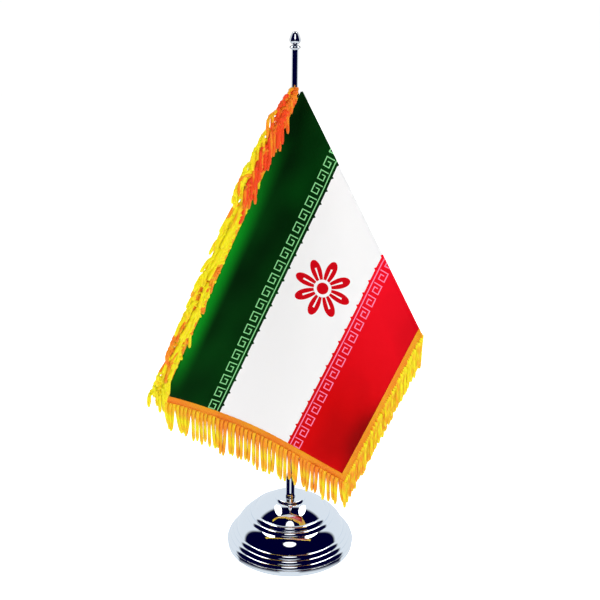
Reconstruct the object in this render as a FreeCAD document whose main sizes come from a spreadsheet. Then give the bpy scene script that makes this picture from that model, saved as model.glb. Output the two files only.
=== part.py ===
import FreeCAD, Part
import math
import os
import Sketcher

# Desk flag stand: a weighted, chromed dome base, a screwed-in pole with a two-piece
# finial, and a satin flag that hangs from a sleeve on the pole.
# Millimetres. The origin is the middle of the base's underside; +Z runs up the pole
# and -Y is the side that the flag's face looks towards.

SIZES = {
    # base, from the table up
    "pad_thickness": 1.5,
    "pad_inset": 4.0,
        "rim_clearance": 1.0,
    "plate_thickness": 1.0,
    "plate_clearance": 0.3,
    "plate_hole_radius": 10.0,
    "rim_radius": 50.0,
    "rim_height": 6.0,
    "rim_round": 0.6,
    "step_band_width": 7.6,
    "step_band_height": 9.4,
    "step_round": 2.6,
    "bulge_width": 8.2,
    "bulge_height": 10.4,
    "bulge_round": 13.0,
    "bead_band_width": 6.2,
    "bead_band_height": 5.8,
    "bead_round": 2.5,
    "dome_round": 30.0,
    "dome_height": 9.0,
    "crown_radius": 12.4,
    "shell_wall": 0.8,
    # ballast and the clamp under it
    "ballast_gap": 2.0,
    "ballast_shoulder_height": 14.0,
    "ballast_boss_radius": 9.0,
    "recess_radius": 7.5,
    "recess_depth": 8.5,
    "washer_radius": 5.0,
    "washer_thickness": 1.0,
    "spring_washer_radius": 4.3,
    "spring_washer_thickness": 1.2,
    "spring_washer_split": 0.8,
    "nut_corner_radius": 4.6,
    "nut_thickness": 4.0,
    "nut_clearance": 0.02,
    # stud that the pole screws on to
    "stud_radius": 2.5,
    "stud_clearance": 0.25,
    "stud_tail": 1.2,
    "stud_engagement": 9.0,
    "flange_radius": 6.4,
    "flange_thickness": 1.0,
    # rosette
    "rosette_radius": 12.0,
    "rosette_thickness": 2.0,
    "rosette_round": 1.0,
    "rosette_clearance": 0.3,
    # pole
    "ferrule_radius": 3.8,
    "ferrule_length": 20.0,
    "ferrule_lip": 0.5,
    "ferrule_lip_height": 1.4,
    "ferrule_taper": 3.0,
    "ferrule_socket_depth": 8.0,
    "ferrule_floor": 1.6,
    "thread_clearance": 0.05,
    "pole_radius": 2.15,
    "pole_top": 388.8,
    # finial
    "finial_stud_radius": 1.25,
    "finial_stud_engagement": 7.0,
    "finial_stud_hold": 4.0,
    "finial_bore_spare": 1.0,
    "disc_radius": 3.7,
    "disc_thickness": 2.9,
    "disc_edge": 0.5,
    "disc_neck_radius": 1.7,
    "disc_gap": 0.05,
    "acorn_radius": 3.85,
    "acorn_height": 8.3,
    "acorn_neck_height": 0.6,
    "acorn_widest_height": 2.6,
    "acorn_tip_radius": 1.7,
    # stop ring and sleeve
    "ring_clearance": 0.05,
    "ring_wall": 2.0,
    "ring_height": 4.0,
    "ring_gap": 0.3,
    "sleeve_clearance": 0.35,
    "sleeve_wall": 0.5,
    "sleeve_tab": 1.0,
    # flag, cut flat
    "flag_length": 236.0,
    "flag_width": 148.0,
    "flag_drop": 26.8,
    "cloth_thickness": 0.2,
    "cloth_gap": 0.02,
    # how it hangs: a cone of cloth whose point is the hoist's top corner, which stands
    # off the sleeve by the seam's reach
    "seam_reach": 3.0,
    "corner_azimuth": -48.0,
    "corner_trim": 5.0,
    "fold_azimuth": -31.2,
    "fold_tilt": 32.1,
    "fold_flat_angle": 35.9,
    "fold_half_width": 1.5,
    "panel_start_angle": -80.0,
    "panel_bow_start": 0.36,
    "panel_bow_change": -2.84,
    # fringe
    "header_width": 5.5,
    "header_thickness": 1.4,
    "header_gap": 0.1,
    "thread_gap": 1.3,
    "thread_length": 20.0,
    "thread_band_thickness": 2.0,
    "gathered_width": 7.5,
    "gathered_thickness": 3.6,
    "fringe_start": 16.0,
}

UP = FreeCAD.Vector(0, 0, 1)
DOWN = FreeCAD.Vector(0, 0, -1)
ORIGIN = FreeCAD.Vector(0, 0, 0)

# Heights and radii that several pieces share, as expressions on the sheet's cells.
PLATE_TOP = "(Sizes.pad_thickness + Sizes.plate_thickness)"
STEPS_TOP = "(Sizes.rim_height + Sizes.step_band_height)"
BULGE_TOP = "(Sizes.rim_height + Sizes.step_band_height + Sizes.bulge_height)"
BEADS_TOP = f"({BULGE_TOP} + Sizes.bead_band_height)"
CROWN = f"({BEADS_TOP} + Sizes.dome_height)"
CROWN_UNDERSIDE = f"({CROWN} - Sizes.shell_wall)"
STEPS_RADIUS = "(Sizes.rim_radius - Sizes.step_band_width)"
BULGE_RADIUS = f"({STEPS_RADIUS} - Sizes.bulge_width)"
BEADS_RADIUS = f"({BULGE_RADIUS} - Sizes.bead_band_width)"
STUD_HOLE = "(Sizes.stud_radius + Sizes.stud_clearance)"
RECESS_TOP = f"({PLATE_TOP} + Sizes.recess_depth)"
WASHER_BOTTOM = f"({RECESS_TOP} - Sizes.washer_thickness)"
SPRING_WASHER_BOTTOM = f"({WASHER_BOTTOM} - Sizes.spring_washer_thickness)"
NUT_BOTTOM = f"({SPRING_WASHER_BOTTOM} - Sizes.nut_thickness)"
ROSETTE_TOP = f"({CROWN} + Sizes.rosette_thickness)"
FERRULE_TOP = f"({ROSETTE_TOP} + Sizes.ferrule_length)"
SOCKET_FLOOR = f"({FERRULE_TOP} - Sizes.ferrule_socket_depth)"
DISC_TOP = "(Sizes.pole_top + Sizes.disc_thickness)"
ACORN_BOTTOM = f"({DISC_TOP} + Sizes.disc_gap)"
ACORN_TOP = f"({ACORN_BOTTOM} + Sizes.acorn_neck_height + Sizes.acorn_height)"
FINIAL_BORE = "(Sizes.finial_stud_radius + Sizes.thread_clearance)"
FLAG_TOP = "(Sizes.pole_top - Sizes.flag_drop)"
SLEEVE_BOTTOM = f"({FLAG_TOP} - Sizes.flag_width)"
SLEEVE_INNER = "(Sizes.pole_radius + Sizes.sleeve_clearance)"
SLEEVE_OUTER = f"({SLEEVE_INNER} + Sizes.sleeve_wall)"
STEP_COUNT = 3
BEAD_COUNT = 2

doc = FreeCAD.newDocument("DeskFlagStand")
sheet = doc.addObject("Spreadsheet::Sheet", "Sizes")
parts = []


def fill_sheet():
    for row, (alias, value) in enumerate(SIZES.items(), start=1):
        sheet.set(f"A{row}", alias)
        sheet.set(f"B{row}", str(value))
        sheet.setAlias(f"B{row}", alias)
    doc.recompute()


def number(expression):
    """The value of an expression on the sheet, for first guesses and for plain shapes."""
    return float(sheet.evalExpression(expression))


def size(alias):
    return number(f"Sizes.{alias}")


# ---------------------------------------------------------------- turned pieces

def origin_part(body, role):
    return next(feature for feature in body.Origin.OriginFeatures if feature.Role == role)


def edge_between(start, finish, radius):
    """A line, or an arc of the given radius that bulges to the left of its travel.

    A negative radius bulges to the right. The second value says whether the arc,
    which a sketch always draws anticlockwise, runs against the outline's travel.
    """
    if not radius:
        return Part.LineSegment(start, finish), False
    chord = finish - start
    middle = start + chord * 0.5
    left = FreeCAD.Vector(-chord.y, chord.x, 0).normalize()
    if radius < 0:
        left = left * -1
    height = math.sqrt(radius * radius - chord.Length * chord.Length / 4)
    centre = middle - left * height
    first, last = (finish, start) if radius > 0 else (start, finish)
    circle = Part.Circle(centre, FreeCAD.Vector(0, 0, 1), abs(radius))
    return Part.ArcOfCircle(circle, circle.parameter(first), circle.parameter(last)), radius > 0


def place_corner(sketch, corner, geometry, end):
    """Ties a corner to the sketch's axes, by expressions on the sheet."""
    for axis, kind in enumerate(("DistanceX", "DistanceY")):
        if corner[axis] == "0":
            upright = -2 if kind == "DistanceX" else -1
            sketch.addConstraint(Sketcher.Constraint("PointOnObject", geometry, end, upright))
        else:
            distance = Sketcher.Constraint(kind, -1, 1, geometry, end, number(corner[axis]))
            index = sketch.addConstraint(distance)
            sketch.setExpression(f"Constraints[{index}]", corner[axis])


def half_section(body, corners):
    """A closed outline of (radius, height) corners in the XZ plane.

    A corner's third value is the radius of the arc that reaches it.
    """
    sketch = body.newObject("Sketcher::SketchObject", "HalfSection")
    sketch.AttachmentSupport = (origin_part(body, "XZ_Plane"), [""])
    sketch.MapMode = "FlatFace"
    places = [FreeCAD.Vector(number(c[0]), number(c[1]), 0) for c in corners]
    ends = []
    for index, corner in enumerate(corners):
        radius = corner[2] if len(corner) > 2 else None
        signed = 0.0
        if radius:
            signed = -number(radius[1:]) if radius.startswith("-") else number(radius)
        edge, against = edge_between(places[index - 1], places[index], signed)
        sketch.addGeometry(edge, False)
        ends.append((2, 1) if against else (1, 2))
        if radius:
            constraint = sketch.addConstraint(Sketcher.Constraint("Radius", index, abs(signed)))
            sketch.setExpression(f"Constraints[{constraint}]", radius.lstrip("-"))
    for index, corner in enumerate(corners):
        following = (index + 1) % len(corners)
        joint = ("Coincident", index, ends[index][1], following, ends[following][0])
        sketch.addConstraint(Sketcher.Constraint(*joint))
        place_corner(sketch, corner, index, ends[index][1])
    return sketch


def turned(label, corners):
    """A piece turned about the pole's axis."""
    body = doc.addObject("PartDesign::Body", label)
    sketch = half_section(body, corners)
    turn = body.newObject("PartDesign::Revolution", "Turn")
    turn.Profile = sketch
    turn.ReferenceAxis = (sketch, ["V_Axis"])
    turn.Angle = 360
    body.Tip = turn
    doc.recompute()
    parts.append(body)
    return body


def cylinder(name, radius, bottom, height):
    shape = doc.addObject("Part::Cylinder", name)
    shape.setExpression("Radius", radius)
    shape.setExpression("Height", height)
    shape.setExpression("Placement.Base.z", bottom)
    return shape


def cut(label, base, tool):
    result = doc.addObject("Part::Cut", label)
    result.Base = base
    result.Tool = tool
    return result


# ---------------------------------------------------------------- base

def make_pad():
    edge = "Sizes.rim_radius - Sizes.pad_inset"
    turned("base_pad", [
        ("0", "0"),
        (edge, "0"),
        (edge, "Sizes.pad_thickness"),
        ("0", "Sizes.pad_thickness"),
    ])


def make_plate():
    edge = "Sizes.rim_radius - Sizes.shell_wall - Sizes.plate_clearance"
    turned("base_plate", [
        ("Sizes.plate_hole_radius", "Sizes.pad_thickness"),
        (edge, "Sizes.pad_thickness"),
        (edge, PLATE_TOP),
        ("Sizes.plate_hole_radius", PLATE_TOP),
    ])


def make_shell():
    """The spun shell: crown, dome, two beads, the big bulge, three steps and the rim."""
    corners = [(STUD_HOLE, CROWN_UNDERSIDE), (STUD_HOLE, CROWN), ("Sizes.crown_radius", CROWN)]
    corners.append((BEADS_RADIUS, BEADS_TOP, "Sizes.dome_round"))
    for bead in range(1, BEAD_COUNT + 1):
        share = bead / BEAD_COUNT
        radius = f"{BEADS_RADIUS} + Sizes.bead_band_width * {share}"
        height = f"{BEADS_TOP} - Sizes.bead_band_height * {share}"
        corners.append((radius, height, "Sizes.bead_round"))
    corners.append((STEPS_RADIUS, STEPS_TOP, "Sizes.bulge_round"))
    for step in range(1, STEP_COUNT + 1):
        share = step / STEP_COUNT
        radius = f"{STEPS_RADIUS} + (Sizes.step_band_width - Sizes.rim_round) * {share:.4f}"
        height = f"{STEPS_TOP} - Sizes.step_band_height * {share:.4f}"
        corners.append((radius, height, "Sizes.step_round"))
    rim_inside = "Sizes.rim_radius - Sizes.shell_wall"
    corners += [
        ("Sizes.rim_radius", "Sizes.rim_height - Sizes.rim_round", "Sizes.rim_round"),
        ("Sizes.rim_radius", "Sizes.rim_clearance"),
        (rim_inside, "Sizes.rim_clearance"),
        (rim_inside, "Sizes.rim_height - 1.5 * Sizes.shell_wall"),
        (f"{STEPS_RADIUS} - Sizes.shell_wall", f"{STEPS_TOP} - 1.2 * Sizes.shell_wall"),
        (f"{BULGE_RADIUS} - Sizes.shell_wall", f"{BULGE_TOP} - Sizes.shell_wall"),
        (f"{BEADS_RADIUS} - Sizes.shell_wall", f"{BEADS_TOP} - Sizes.shell_wall"),
        ("Sizes.crown_radius - Sizes.shell_wall", CROWN_UNDERSIDE),
    ]
    turned("base_shell", corners)


def make_ballast():
    """The cast weight: it fills the rim, and its boss holds the crown up."""
    edge = "Sizes.rim_radius - Sizes.shell_wall - Sizes.ballast_gap"
    upper = f"{STEPS_RADIUS} - Sizes.shell_wall - Sizes.ballast_gap"
    boss = "Sizes.ballast_boss_radius"
    turned("base_ballast", [
        (STUD_HOLE, RECESS_TOP),
        ("Sizes.recess_radius", RECESS_TOP),
        ("Sizes.recess_radius", PLATE_TOP),
        (edge, PLATE_TOP),
        (edge, "Sizes.rim_height - 1.5 * Sizes.shell_wall"),
        (upper, f"{STEPS_TOP} - Sizes.ballast_gap"),
        (f"{BULGE_RADIUS} - Sizes.ballast_gap", "Sizes.ballast_shoulder_height"),
        (boss, "Sizes.ballast_shoulder_height"),
        (boss, CROWN_UNDERSIDE),
        (STUD_HOLE, CROWN_UNDERSIDE),
    ])


def make_stud():
    """The threaded stud, with the flange that clamps the shell on to the ballast."""
    top = f"{ROSETTE_TOP} + Sizes.stud_engagement"
    bottom = f"{NUT_BOTTOM} - Sizes.stud_tail"
    turned("pole_stud", [
        ("0", bottom),
        ("Sizes.stud_radius", bottom),
        ("Sizes.stud_radius", CROWN),
        ("Sizes.flange_radius", CROWN),
        ("Sizes.flange_radius", f"{CROWN} + Sizes.flange_thickness"),
        ("Sizes.stud_radius", f"{CROWN} + Sizes.flange_thickness"),
        ("Sizes.stud_radius", f"{top} - 0.5"),
        ("Sizes.stud_radius - 0.5", top),
        ("0", top),
    ])


def make_clamp():
    """Flat washer, split spring washer and hexagon nut in the ballast's recess."""
    washer = cut(
        "clamp_washer",
        cylinder("WasherBlank", "Sizes.washer_radius", WASHER_BOTTOM, "Sizes.washer_thickness"),
        cylinder("WasherHole", STUD_HOLE, WASHER_BOTTOM, "Sizes.washer_thickness"),
    )
    height = "Sizes.spring_washer_thickness"
    ring = cut(
        "SpringRing",
        cylinder("SpringBlank", "Sizes.spring_washer_radius", SPRING_WASHER_BOTTOM, height),
        cylinder("SpringHole", STUD_HOLE, SPRING_WASHER_BOTTOM, height),
    )
    split = doc.addObject("Part::Box", "SpringSplit")
    split.setExpression("Length", "Sizes.spring_washer_radius")
    split.setExpression("Width", "Sizes.spring_washer_split")
    split.setExpression("Height", height)
    split.setExpression("Placement.Base.z", SPRING_WASHER_BOTTOM)
    split.setExpression("Placement.Base.y", "-Sizes.spring_washer_split / 2")
    spring = cut("spring_washer", ring, split)

    hexagon = doc.addObject("Part::Prism", "NutBlank")
    hexagon.Polygon = 6
    hexagon.setExpression("Circumradius", "Sizes.nut_corner_radius")
    hexagon.setExpression("Height", "Sizes.nut_thickness")
    hexagon.setExpression("Placement.Base.z", NUT_BOTTOM)
    bore = "Sizes.stud_radius + Sizes.nut_clearance"
    thread = cylinder("NutThread", bore, NUT_BOTTOM, "Sizes.nut_thickness")
    parts.extend([washer, spring, cut("clamp_nut", hexagon, thread)])


# ---------------------------------------------------------------- rosette and pole

def make_rosette():
    """The trim washer under the ferrule, hollowed to clear the stud's flange."""
    bore = "Sizes.stud_radius + Sizes.rosette_clearance"
    hollow = "Sizes.flange_radius + Sizes.rosette_clearance"
    ceiling = f"{CROWN} + Sizes.flange_thickness + Sizes.rosette_clearance"
    turned("rosette", [
        (bore, ceiling),
        (hollow, ceiling),
        (hollow, CROWN),
        ("Sizes.rosette_radius", CROWN),
        ("Sizes.rosette_radius", f"{ROSETTE_TOP} - Sizes.rosette_round"),
        ("Sizes.rosette_radius - Sizes.rosette_round", ROSETTE_TOP, "-Sizes.rosette_round"),
        (bore, ROSETTE_TOP),
    ])


def make_ferrule():
    """Socket at the pole's foot: threaded below, bored for the rod above."""
    bore = "Sizes.stud_radius + Sizes.thread_clearance"
    lip = "Sizes.ferrule_radius + Sizes.ferrule_lip"
    lip_top = f"{ROSETTE_TOP} + Sizes.ferrule_lip_height"
    thread_top = f"{SOCKET_FLOOR} - Sizes.ferrule_floor"
    turned("pole_ferrule", [
        (bore, ROSETTE_TOP),
        (lip, ROSETTE_TOP),
        (lip, lip_top),
        ("Sizes.ferrule_radius", lip_top),
        ("Sizes.ferrule_radius", f"{FERRULE_TOP} - Sizes.ferrule_taper"),
        ("Sizes.pole_radius + 0.4", FERRULE_TOP),
        ("Sizes.pole_radius", FERRULE_TOP),
        ("Sizes.pole_radius", SOCKET_FLOOR),
        ("0", SOCKET_FLOOR),
        ("0", thread_top),
        (bore, thread_top),
    ])


def make_rod():
    """The pole, tapped at its top for the finial's stud."""
    floor = "Sizes.pole_top - Sizes.finial_stud_engagement - Sizes.finial_bore_spare"
    turned("pole_rod", [
        ("0", SOCKET_FLOOR),
        ("Sizes.pole_radius", SOCKET_FLOOR),
        ("Sizes.pole_radius", "Sizes.pole_top"),
        (FINIAL_BORE, "Sizes.pole_top"),
        (FINIAL_BORE, floor),
        ("0", floor),
    ])


# ---------------------------------------------------------------- finial

def make_disc():
    """The sharp-rimmed disc that is caught between the acorn and the pole."""
    middle = "Sizes.pole_top + Sizes.disc_thickness / 2"
    turned("finial_disc", [
        (FINIAL_BORE, "Sizes.pole_top"),
        ("Sizes.pole_radius", "Sizes.pole_top"),
        ("Sizes.disc_radius", f"{middle} - Sizes.disc_edge / 2"),
        ("Sizes.disc_radius", f"{middle} + Sizes.disc_edge / 2"),
        ("Sizes.disc_neck_radius", DISC_TOP),
        (FINIAL_BORE, DISC_TOP),
    ])


def make_acorn():
    """The blunt bud on top, bored blind for its stud."""
    seat = f"{ACORN_BOTTOM} + Sizes.acorn_neck_height"
    widest = f"{seat} + Sizes.acorn_widest_height"
    hole_top = f"{seat} + Sizes.finial_stud_hold"
    turned("finial_acorn", [
        ("Sizes.finial_stud_radius", ACORN_BOTTOM),
        ("Sizes.disc_neck_radius", ACORN_BOTTOM),
        ("Sizes.disc_neck_radius", seat),
        ("Sizes.acorn_radius", widest, "-Sizes.acorn_radius"),
        ("Sizes.acorn_tip_radius", ACORN_TOP, "-2 * Sizes.acorn_height"),
        ("0", ACORN_TOP),
        ("0", hole_top),
        ("Sizes.finial_stud_radius", hole_top),
    ])


def make_finial_stud():
    bottom = "Sizes.pole_top - Sizes.finial_stud_engagement"
    top = f"{ACORN_BOTTOM} + Sizes.acorn_neck_height + Sizes.finial_stud_hold"
    turned("finial_stud", [
        ("0", bottom),
        ("Sizes.finial_stud_radius", bottom),
        ("Sizes.finial_stud_radius", top),
        ("0", top),
    ])


# ---------------------------------------------------------------- stop ring

def make_ring():
    bore = "Sizes.pole_radius + Sizes.ring_clearance"
    edge = f"{bore} + Sizes.ring_wall"
    top = f"{SLEEVE_BOTTOM} - Sizes.ring_gap"
    bottom = f"{top} - Sizes.ring_height"
    turned("height_ring", [(bore, bottom), (edge, bottom), (edge, top), (bore, top)])


# ---------------------------------------------------------------- flag

def direction(azimuth, tilt):
    """A unit vector that leans by tilt degrees from straight down, towards azimuth."""
    lean = math.sin(math.radians(tilt))
    heading = math.radians(azimuth)
    across = FreeCAD.Vector(lean * math.cos(heading), lean * math.sin(heading), 0)
    return across + DOWN * math.cos(math.radians(tilt))


def turn_about(vector, axis, angle):
    return FreeCAD.Rotation(axis, math.degrees(angle)).multVec(vector)


class Drape:
    """The flag as a cone of cloth.

    Every straight line from the hoist's top corner stays straight when the flag is
    hung, so a point of the flat flag, given by its distance from that corner and its
    angle from the hoist, lies the same distance along a ruling of the cone. The flag
    runs flat from the pole to the fold, turns back on itself there, and its front
    panel bows from the fold to the top edge.
    """

    MARCH_STEPS = 24

    def __init__(self):
        self.length = size("flag_length")
        self.width = size("flag_width")
        self.fold = direction(size("fold_azimuth"), size("fold_tilt"))
        self.fold_angle = math.radians(size("fold_flat_angle"))
        self.top_angle = math.pi / 2
        self.corner_angle = math.atan2(self.length, self.width)
        self.towards_front = self.fold.cross(UP).normalize()
        azimuth = math.radians(size("corner_azimuth"))
        reach = number(SLEEVE_OUTER) + size("seam_reach")
        corner = FreeCAD.Vector(reach * math.cos(azimuth), reach * math.sin(azimuth), number(FLAG_TOP))
        shift = self.towards_front * size("fold_half_width")
        self.front_corner = corner
        self.back_corner = corner - shift * 2
        self.marched = self.march()

    def march(self):
        """Front-panel rulings at even steps of flat angle, from the fold to the top edge."""
        start = math.radians(size("panel_start_angle"))
        uphill = self.towards_front.cross(self.fold)
        ruling = self.fold
        heading = self.towards_front * math.cos(start) + uphill * math.sin(start)
        step = (self.top_angle - self.fold_angle) / self.MARCH_STEPS
        rulings = [ruling]
        for index in range(self.MARCH_STEPS):
            share = (index + 0.5) / self.MARCH_STEPS
            bow = size("panel_bow_start") + size("panel_bow_change") * share
            axis = ruling * bow + ruling.cross(heading)
            turn = step * axis.Length
            ruling, heading = turn_about(ruling, axis, turn), turn_about(heading, axis, turn)
            rulings.append(ruling)
        return rulings

    def front_ruling(self, flat_angle):
        span = self.top_angle - self.fold_angle
        place = (flat_angle - self.fold_angle) / span * self.MARCH_STEPS
        index = min(int(place), self.MARCH_STEPS - 1)
        share = place - index
        return (self.marched[index] * (1 - share) + self.marched[index + 1] * share).normalize()

    def reach(self, flat_angle):
        """Distance from the corner to the flag's edge, at an angle from the hoist."""
        if flat_angle < self.corner_angle:
            return self.width / math.cos(flat_angle)
        return self.length / math.sin(flat_angle)

    def lines(self):
        """(corner, ruling, edge distance) from the hoist, round the fold, to the top edge."""
        found = [
            (self.back_corner, DOWN, self.width),
            (self.back_corner, self.fold, self.reach(self.fold_angle)),
            (self.front_corner, self.fold, self.reach(self.fold_angle)),
        ]
        for share in (0.5, 1.0):
            angle = self.fold_angle + (self.corner_angle - self.fold_angle) * share
            found.append((self.front_corner, self.front_ruling(angle), self.reach(angle)))
        for share in (0.5, 1.0):
            angle = self.corner_angle + (self.top_angle - self.corner_angle) * share
            found.append((self.front_corner, self.front_ruling(angle), self.reach(angle)))
        return found


HOIST, FOLD_BACK, FOLD_FRONT, BOTTOM_MIDDLE, BOTTOM_CORNER, FLY_MIDDLE, TOP_EDGE = range(7)


def triangle(first, second, third):
    return Part.Face(Part.makePolygon([first, second, third, first]))


def solid_through(sections):
    """A closed solid of flat facets through a row of four-cornered sections."""
    faces = []
    for section, following in zip(sections, sections[1:]):
        for index in range(4):
            beside = (index + 1) % 4
            faces.append(triangle(section[index], section[beside], following[beside]))
            faces.append(triangle(section[index], following[beside], following[index]))
    for cap in (sections[0], sections[-1]):
        faces.append(triangle(cap[0], cap[1], cap[2]))
        faces.append(triangle(cap[0], cap[2], cap[3]))
    solid = Part.makeSolid(Part.makeShell(faces))
    if solid.Volume < 0:
        solid.reverse()
    return solid


def plain(label, shape):
    feature = doc.addObject("Part::Feature", label)
    feature.Shape = shape
    feature.Placement = FreeCAD.Placement()
    parts.append(feature)
    return feature


def facet_normals(lines):
    """The outward normal of each facet between two neighbouring rulings."""
    normals = []
    for (base, ruling, reach), (next_base, next_ruling, next_reach) in zip(lines, lines[1:]):
        far = base + ruling * reach
        across = (next_base + next_ruling * next_reach) - far
        normals.append(ruling.cross(across).normalize())
    return normals


def mitred(normals, index):
    """The vector that moves a ruling by one unit off both of its facets."""
    if index == 0:
        return normals[0]
    if index == len(normals):
        return normals[-1]
    before, after = normals[index - 1], normals[index]
    return (before + after) * (1 / (1 + before.dot(after)))


def cloth_layer(drape, label, low, high):
    """One layer of the flag, between two offsets from the cloth's middle surface."""
    lines = drape.lines()
    normals = facet_normals(lines)
    trim = size("corner_trim")
    sections = []
    for index, (base, ruling, reach) in enumerate(lines):
        offset = mitred(normals, index)
        near = base + ruling * trim
        far = base + ruling * reach
        sections.append([near + offset * low, far + offset * low, far + offset * high, near + offset * high])
    plain(label, solid_through(sections))


def make_cloth(drape):
    """Face, interlining and lining, from the side that shows in front to the back."""
    thickness = size("cloth_thickness")
    half = thickness / 2
    first = half + size("cloth_gap")
    cloth_layer(drape, "flag_face", first, first + thickness)
    cloth_layer(drape, "flag_interlining", -half, half)
    cloth_layer(drape, "flag_lining", -first - thickness, -first)


def band(label, points, outward, normals, width, thickness, gap):
    """A flat band beside an edge: it starts a gap off the edge and runs outwards."""
    sections = []
    for place, out, normal in zip(points, outward, normals):
        near = place + out * gap
        far = near + out * width
        lift = normal * (thickness / 2)
        sections.append([near - lift, far - lift, far + lift, near + lift])
    plain(label, solid_through(sections))


def curtain(label, points, normals, length, thickness):
    """Threads that hang straight down from a line of points."""
    sections = []
    for place, normal in zip(points, normals):
        lift = normal * (thickness / 2)
        low = place + DOWN * length
        sections.append([place - lift, low - lift, low + lift, place + lift])
    plain(label, solid_through(sections))


def level(vector):
    """A vector's horizontal direction."""
    return FreeCAD.Vector(vector.x, vector.y, 0).normalize()


def make_top_fringe(drape):
    """Header along the steep top edge, with its threads gathered beside it."""
    lines = drape.lines()
    base, ruling, reach = lines[TOP_EDGE]
    normal = facet_normals(lines)[-1]
    outward = normal.cross(ruling).normalize()
    if outward.dot(lines[FLY_MIDDLE][1]) > 0:
        outward = outward * -1
    width = size("header_width")
    gap = size("header_gap")
    start = base + ruling * size("corner_trim")
    end = base + ruling * reach
    band("header_top", [start, end], [outward] * 2, [normal] * 2, width, size("header_thickness"), gap)
    start = base + ruling * size("fringe_start")
    beside = gap + width + size("thread_gap")
    thick = size("gathered_thickness")
    band("threads_top", [start, end], [outward] * 2, [normal] * 2, size("gathered_width"), thick, beside)


def edge_frames(drape, numbers):
    """Points, outward directions and normals along a run of the flag's edge.

    The outward direction lies in the cloth, square to the edge, and is lengthened at
    a corner of the run so that the band keeps its width.
    """
    lines = drape.lines()
    ends = [lines[n][0] + lines[n][1] * lines[n][2] for n in numbers]
    normals, outs = [], []
    for first, second, here in zip(numbers, numbers[1:], range(len(numbers) - 1)):
        along = (ends[here + 1] - ends[here]).normalize()
        normal = along.cross(lines[first][1]).normalize()
        out = along.cross(normal).normalize()
        if out.dot(lines[first][1] + lines[second][1]) < 0:
            out = out * -1
        normals.append(normal)
        outs.append(out)
    return ends, [mitred(outs, i) for i in range(len(ends))], [mitred(normals, i) for i in range(len(ends))]


def hung_fringe(drape, name, numbers, hang):
    """A header band below an edge, and the threads that hang from it."""
    ends, outs, normals = edge_frames(drape, numbers)
    width = size("header_width")
    gap = size("header_gap")
    band(f"header_{name}", ends, outs, normals, width, size("header_thickness"), gap)
    rows = [place + out * (gap + width + size("thread_gap")) for place, out in zip(ends, outs)]
    runs = [level(second - first) for first, second in zip(rows, rows[1:])]
    sides = [FreeCAD.Vector(-run.y, run.x, 0) for run in runs]
    curtain(f"threads_{name}", rows, [mitred(sides, i) for i in range(len(rows))], hang,
            size("thread_band_thickness"))


def make_sleeve(drape):
    """The hoist's sleeve round the pole, with the seam that joins it to the cloth."""
    inner = number(SLEEVE_INNER)
    outer = number(SLEEVE_OUTER)
    bottom = number(SLEEVE_BOTTOM)
    height = size("flag_width")
    base = FreeCAD.Vector(0, 0, bottom)
    tube = Part.makeCylinder(outer, height, base).cut(Part.makeCylinder(inner, height, base))
    heading = math.degrees(math.atan2(drape.back_corner.y, drape.back_corner.x))
    reach = math.hypot(drape.back_corner.x, drape.back_corner.y) - size("header_gap")
    middle = (inner + outer) / 2
    thick = size("sleeve_tab")
    tab = Part.makeBox(reach - middle, thick, height, FreeCAD.Vector(middle, -thick / 2, bottom))
    tab.rotate(ORIGIN, UP, heading)
    plain("pole_sleeve", tube.fuse(tab).removeSplitter())


def make_flag():
    drape = Drape()
    make_sleeve(drape)
    make_cloth(drape)
    make_top_fringe(drape)
    length = size("thread_length")
    hung_fringe(drape, "fly", [BOTTOM_CORNER, FLY_MIDDLE, TOP_EDGE], length)
    hung_fringe(drape, "bottom", [HOIST, FOLD_BACK, FOLD_FRONT, BOTTOM_MIDDLE, BOTTOM_CORNER], length)


# ---------------------------------------------------------------- build and write

def check_and_export():
    doc.recompute()
    for feature in doc.Objects:
        if "Invalid" in feature.State or "Error" in feature.State:
            raise RuntimeError(f"{feature.Label} failed: {feature.State}")
    for part in parts:
        if part.Shape.isNull() or not part.Shape.isValid() or not part.Shape.Solids:
            raise RuntimeError(f"{part.Label} has no valid shape")
    os.makedirs("parts", exist_ok=True)
    for part in parts:
        part.Shape.exportStep(f"parts/{part.Label}.step")
        box = part.Shape.BoundBox
        print(f"{part.Label:18s} {part.Shape.Volume:10.1f} mm3  x {box.XMin:7.2f} {box.XMax:7.2f}"
              f"  y {box.YMin:7.2f} {box.YMax:7.2f}  z {box.ZMin:7.2f} {box.ZMax:7.2f}"
              f"  solids {len(part.Shape.Solids)}")


fill_sheet()
make_pad()
make_plate()
make_shell()
make_ballast()
make_stud()
make_clamp()
make_rosette()
make_ferrule()
make_rod()
make_disc()
make_acorn()
make_finial_stud()
make_ring()
make_flag()
check_and_export()
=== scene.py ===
# %% [markdown]
# # A desk flag on its stand
#
# The stand is a pressed and chromed dome with a thin chromed pole screwed into it. A
# fringed satin flag hangs from a sleeve on the pole, folded once. The CAD model holds
# every size and joint. This lesson dresses it: spun metal, hung cloth and a fringe.

# %% Load the CAD frame
import math
import random

import bmesh
import bpy
from mathutils import Matrix, Vector


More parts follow.
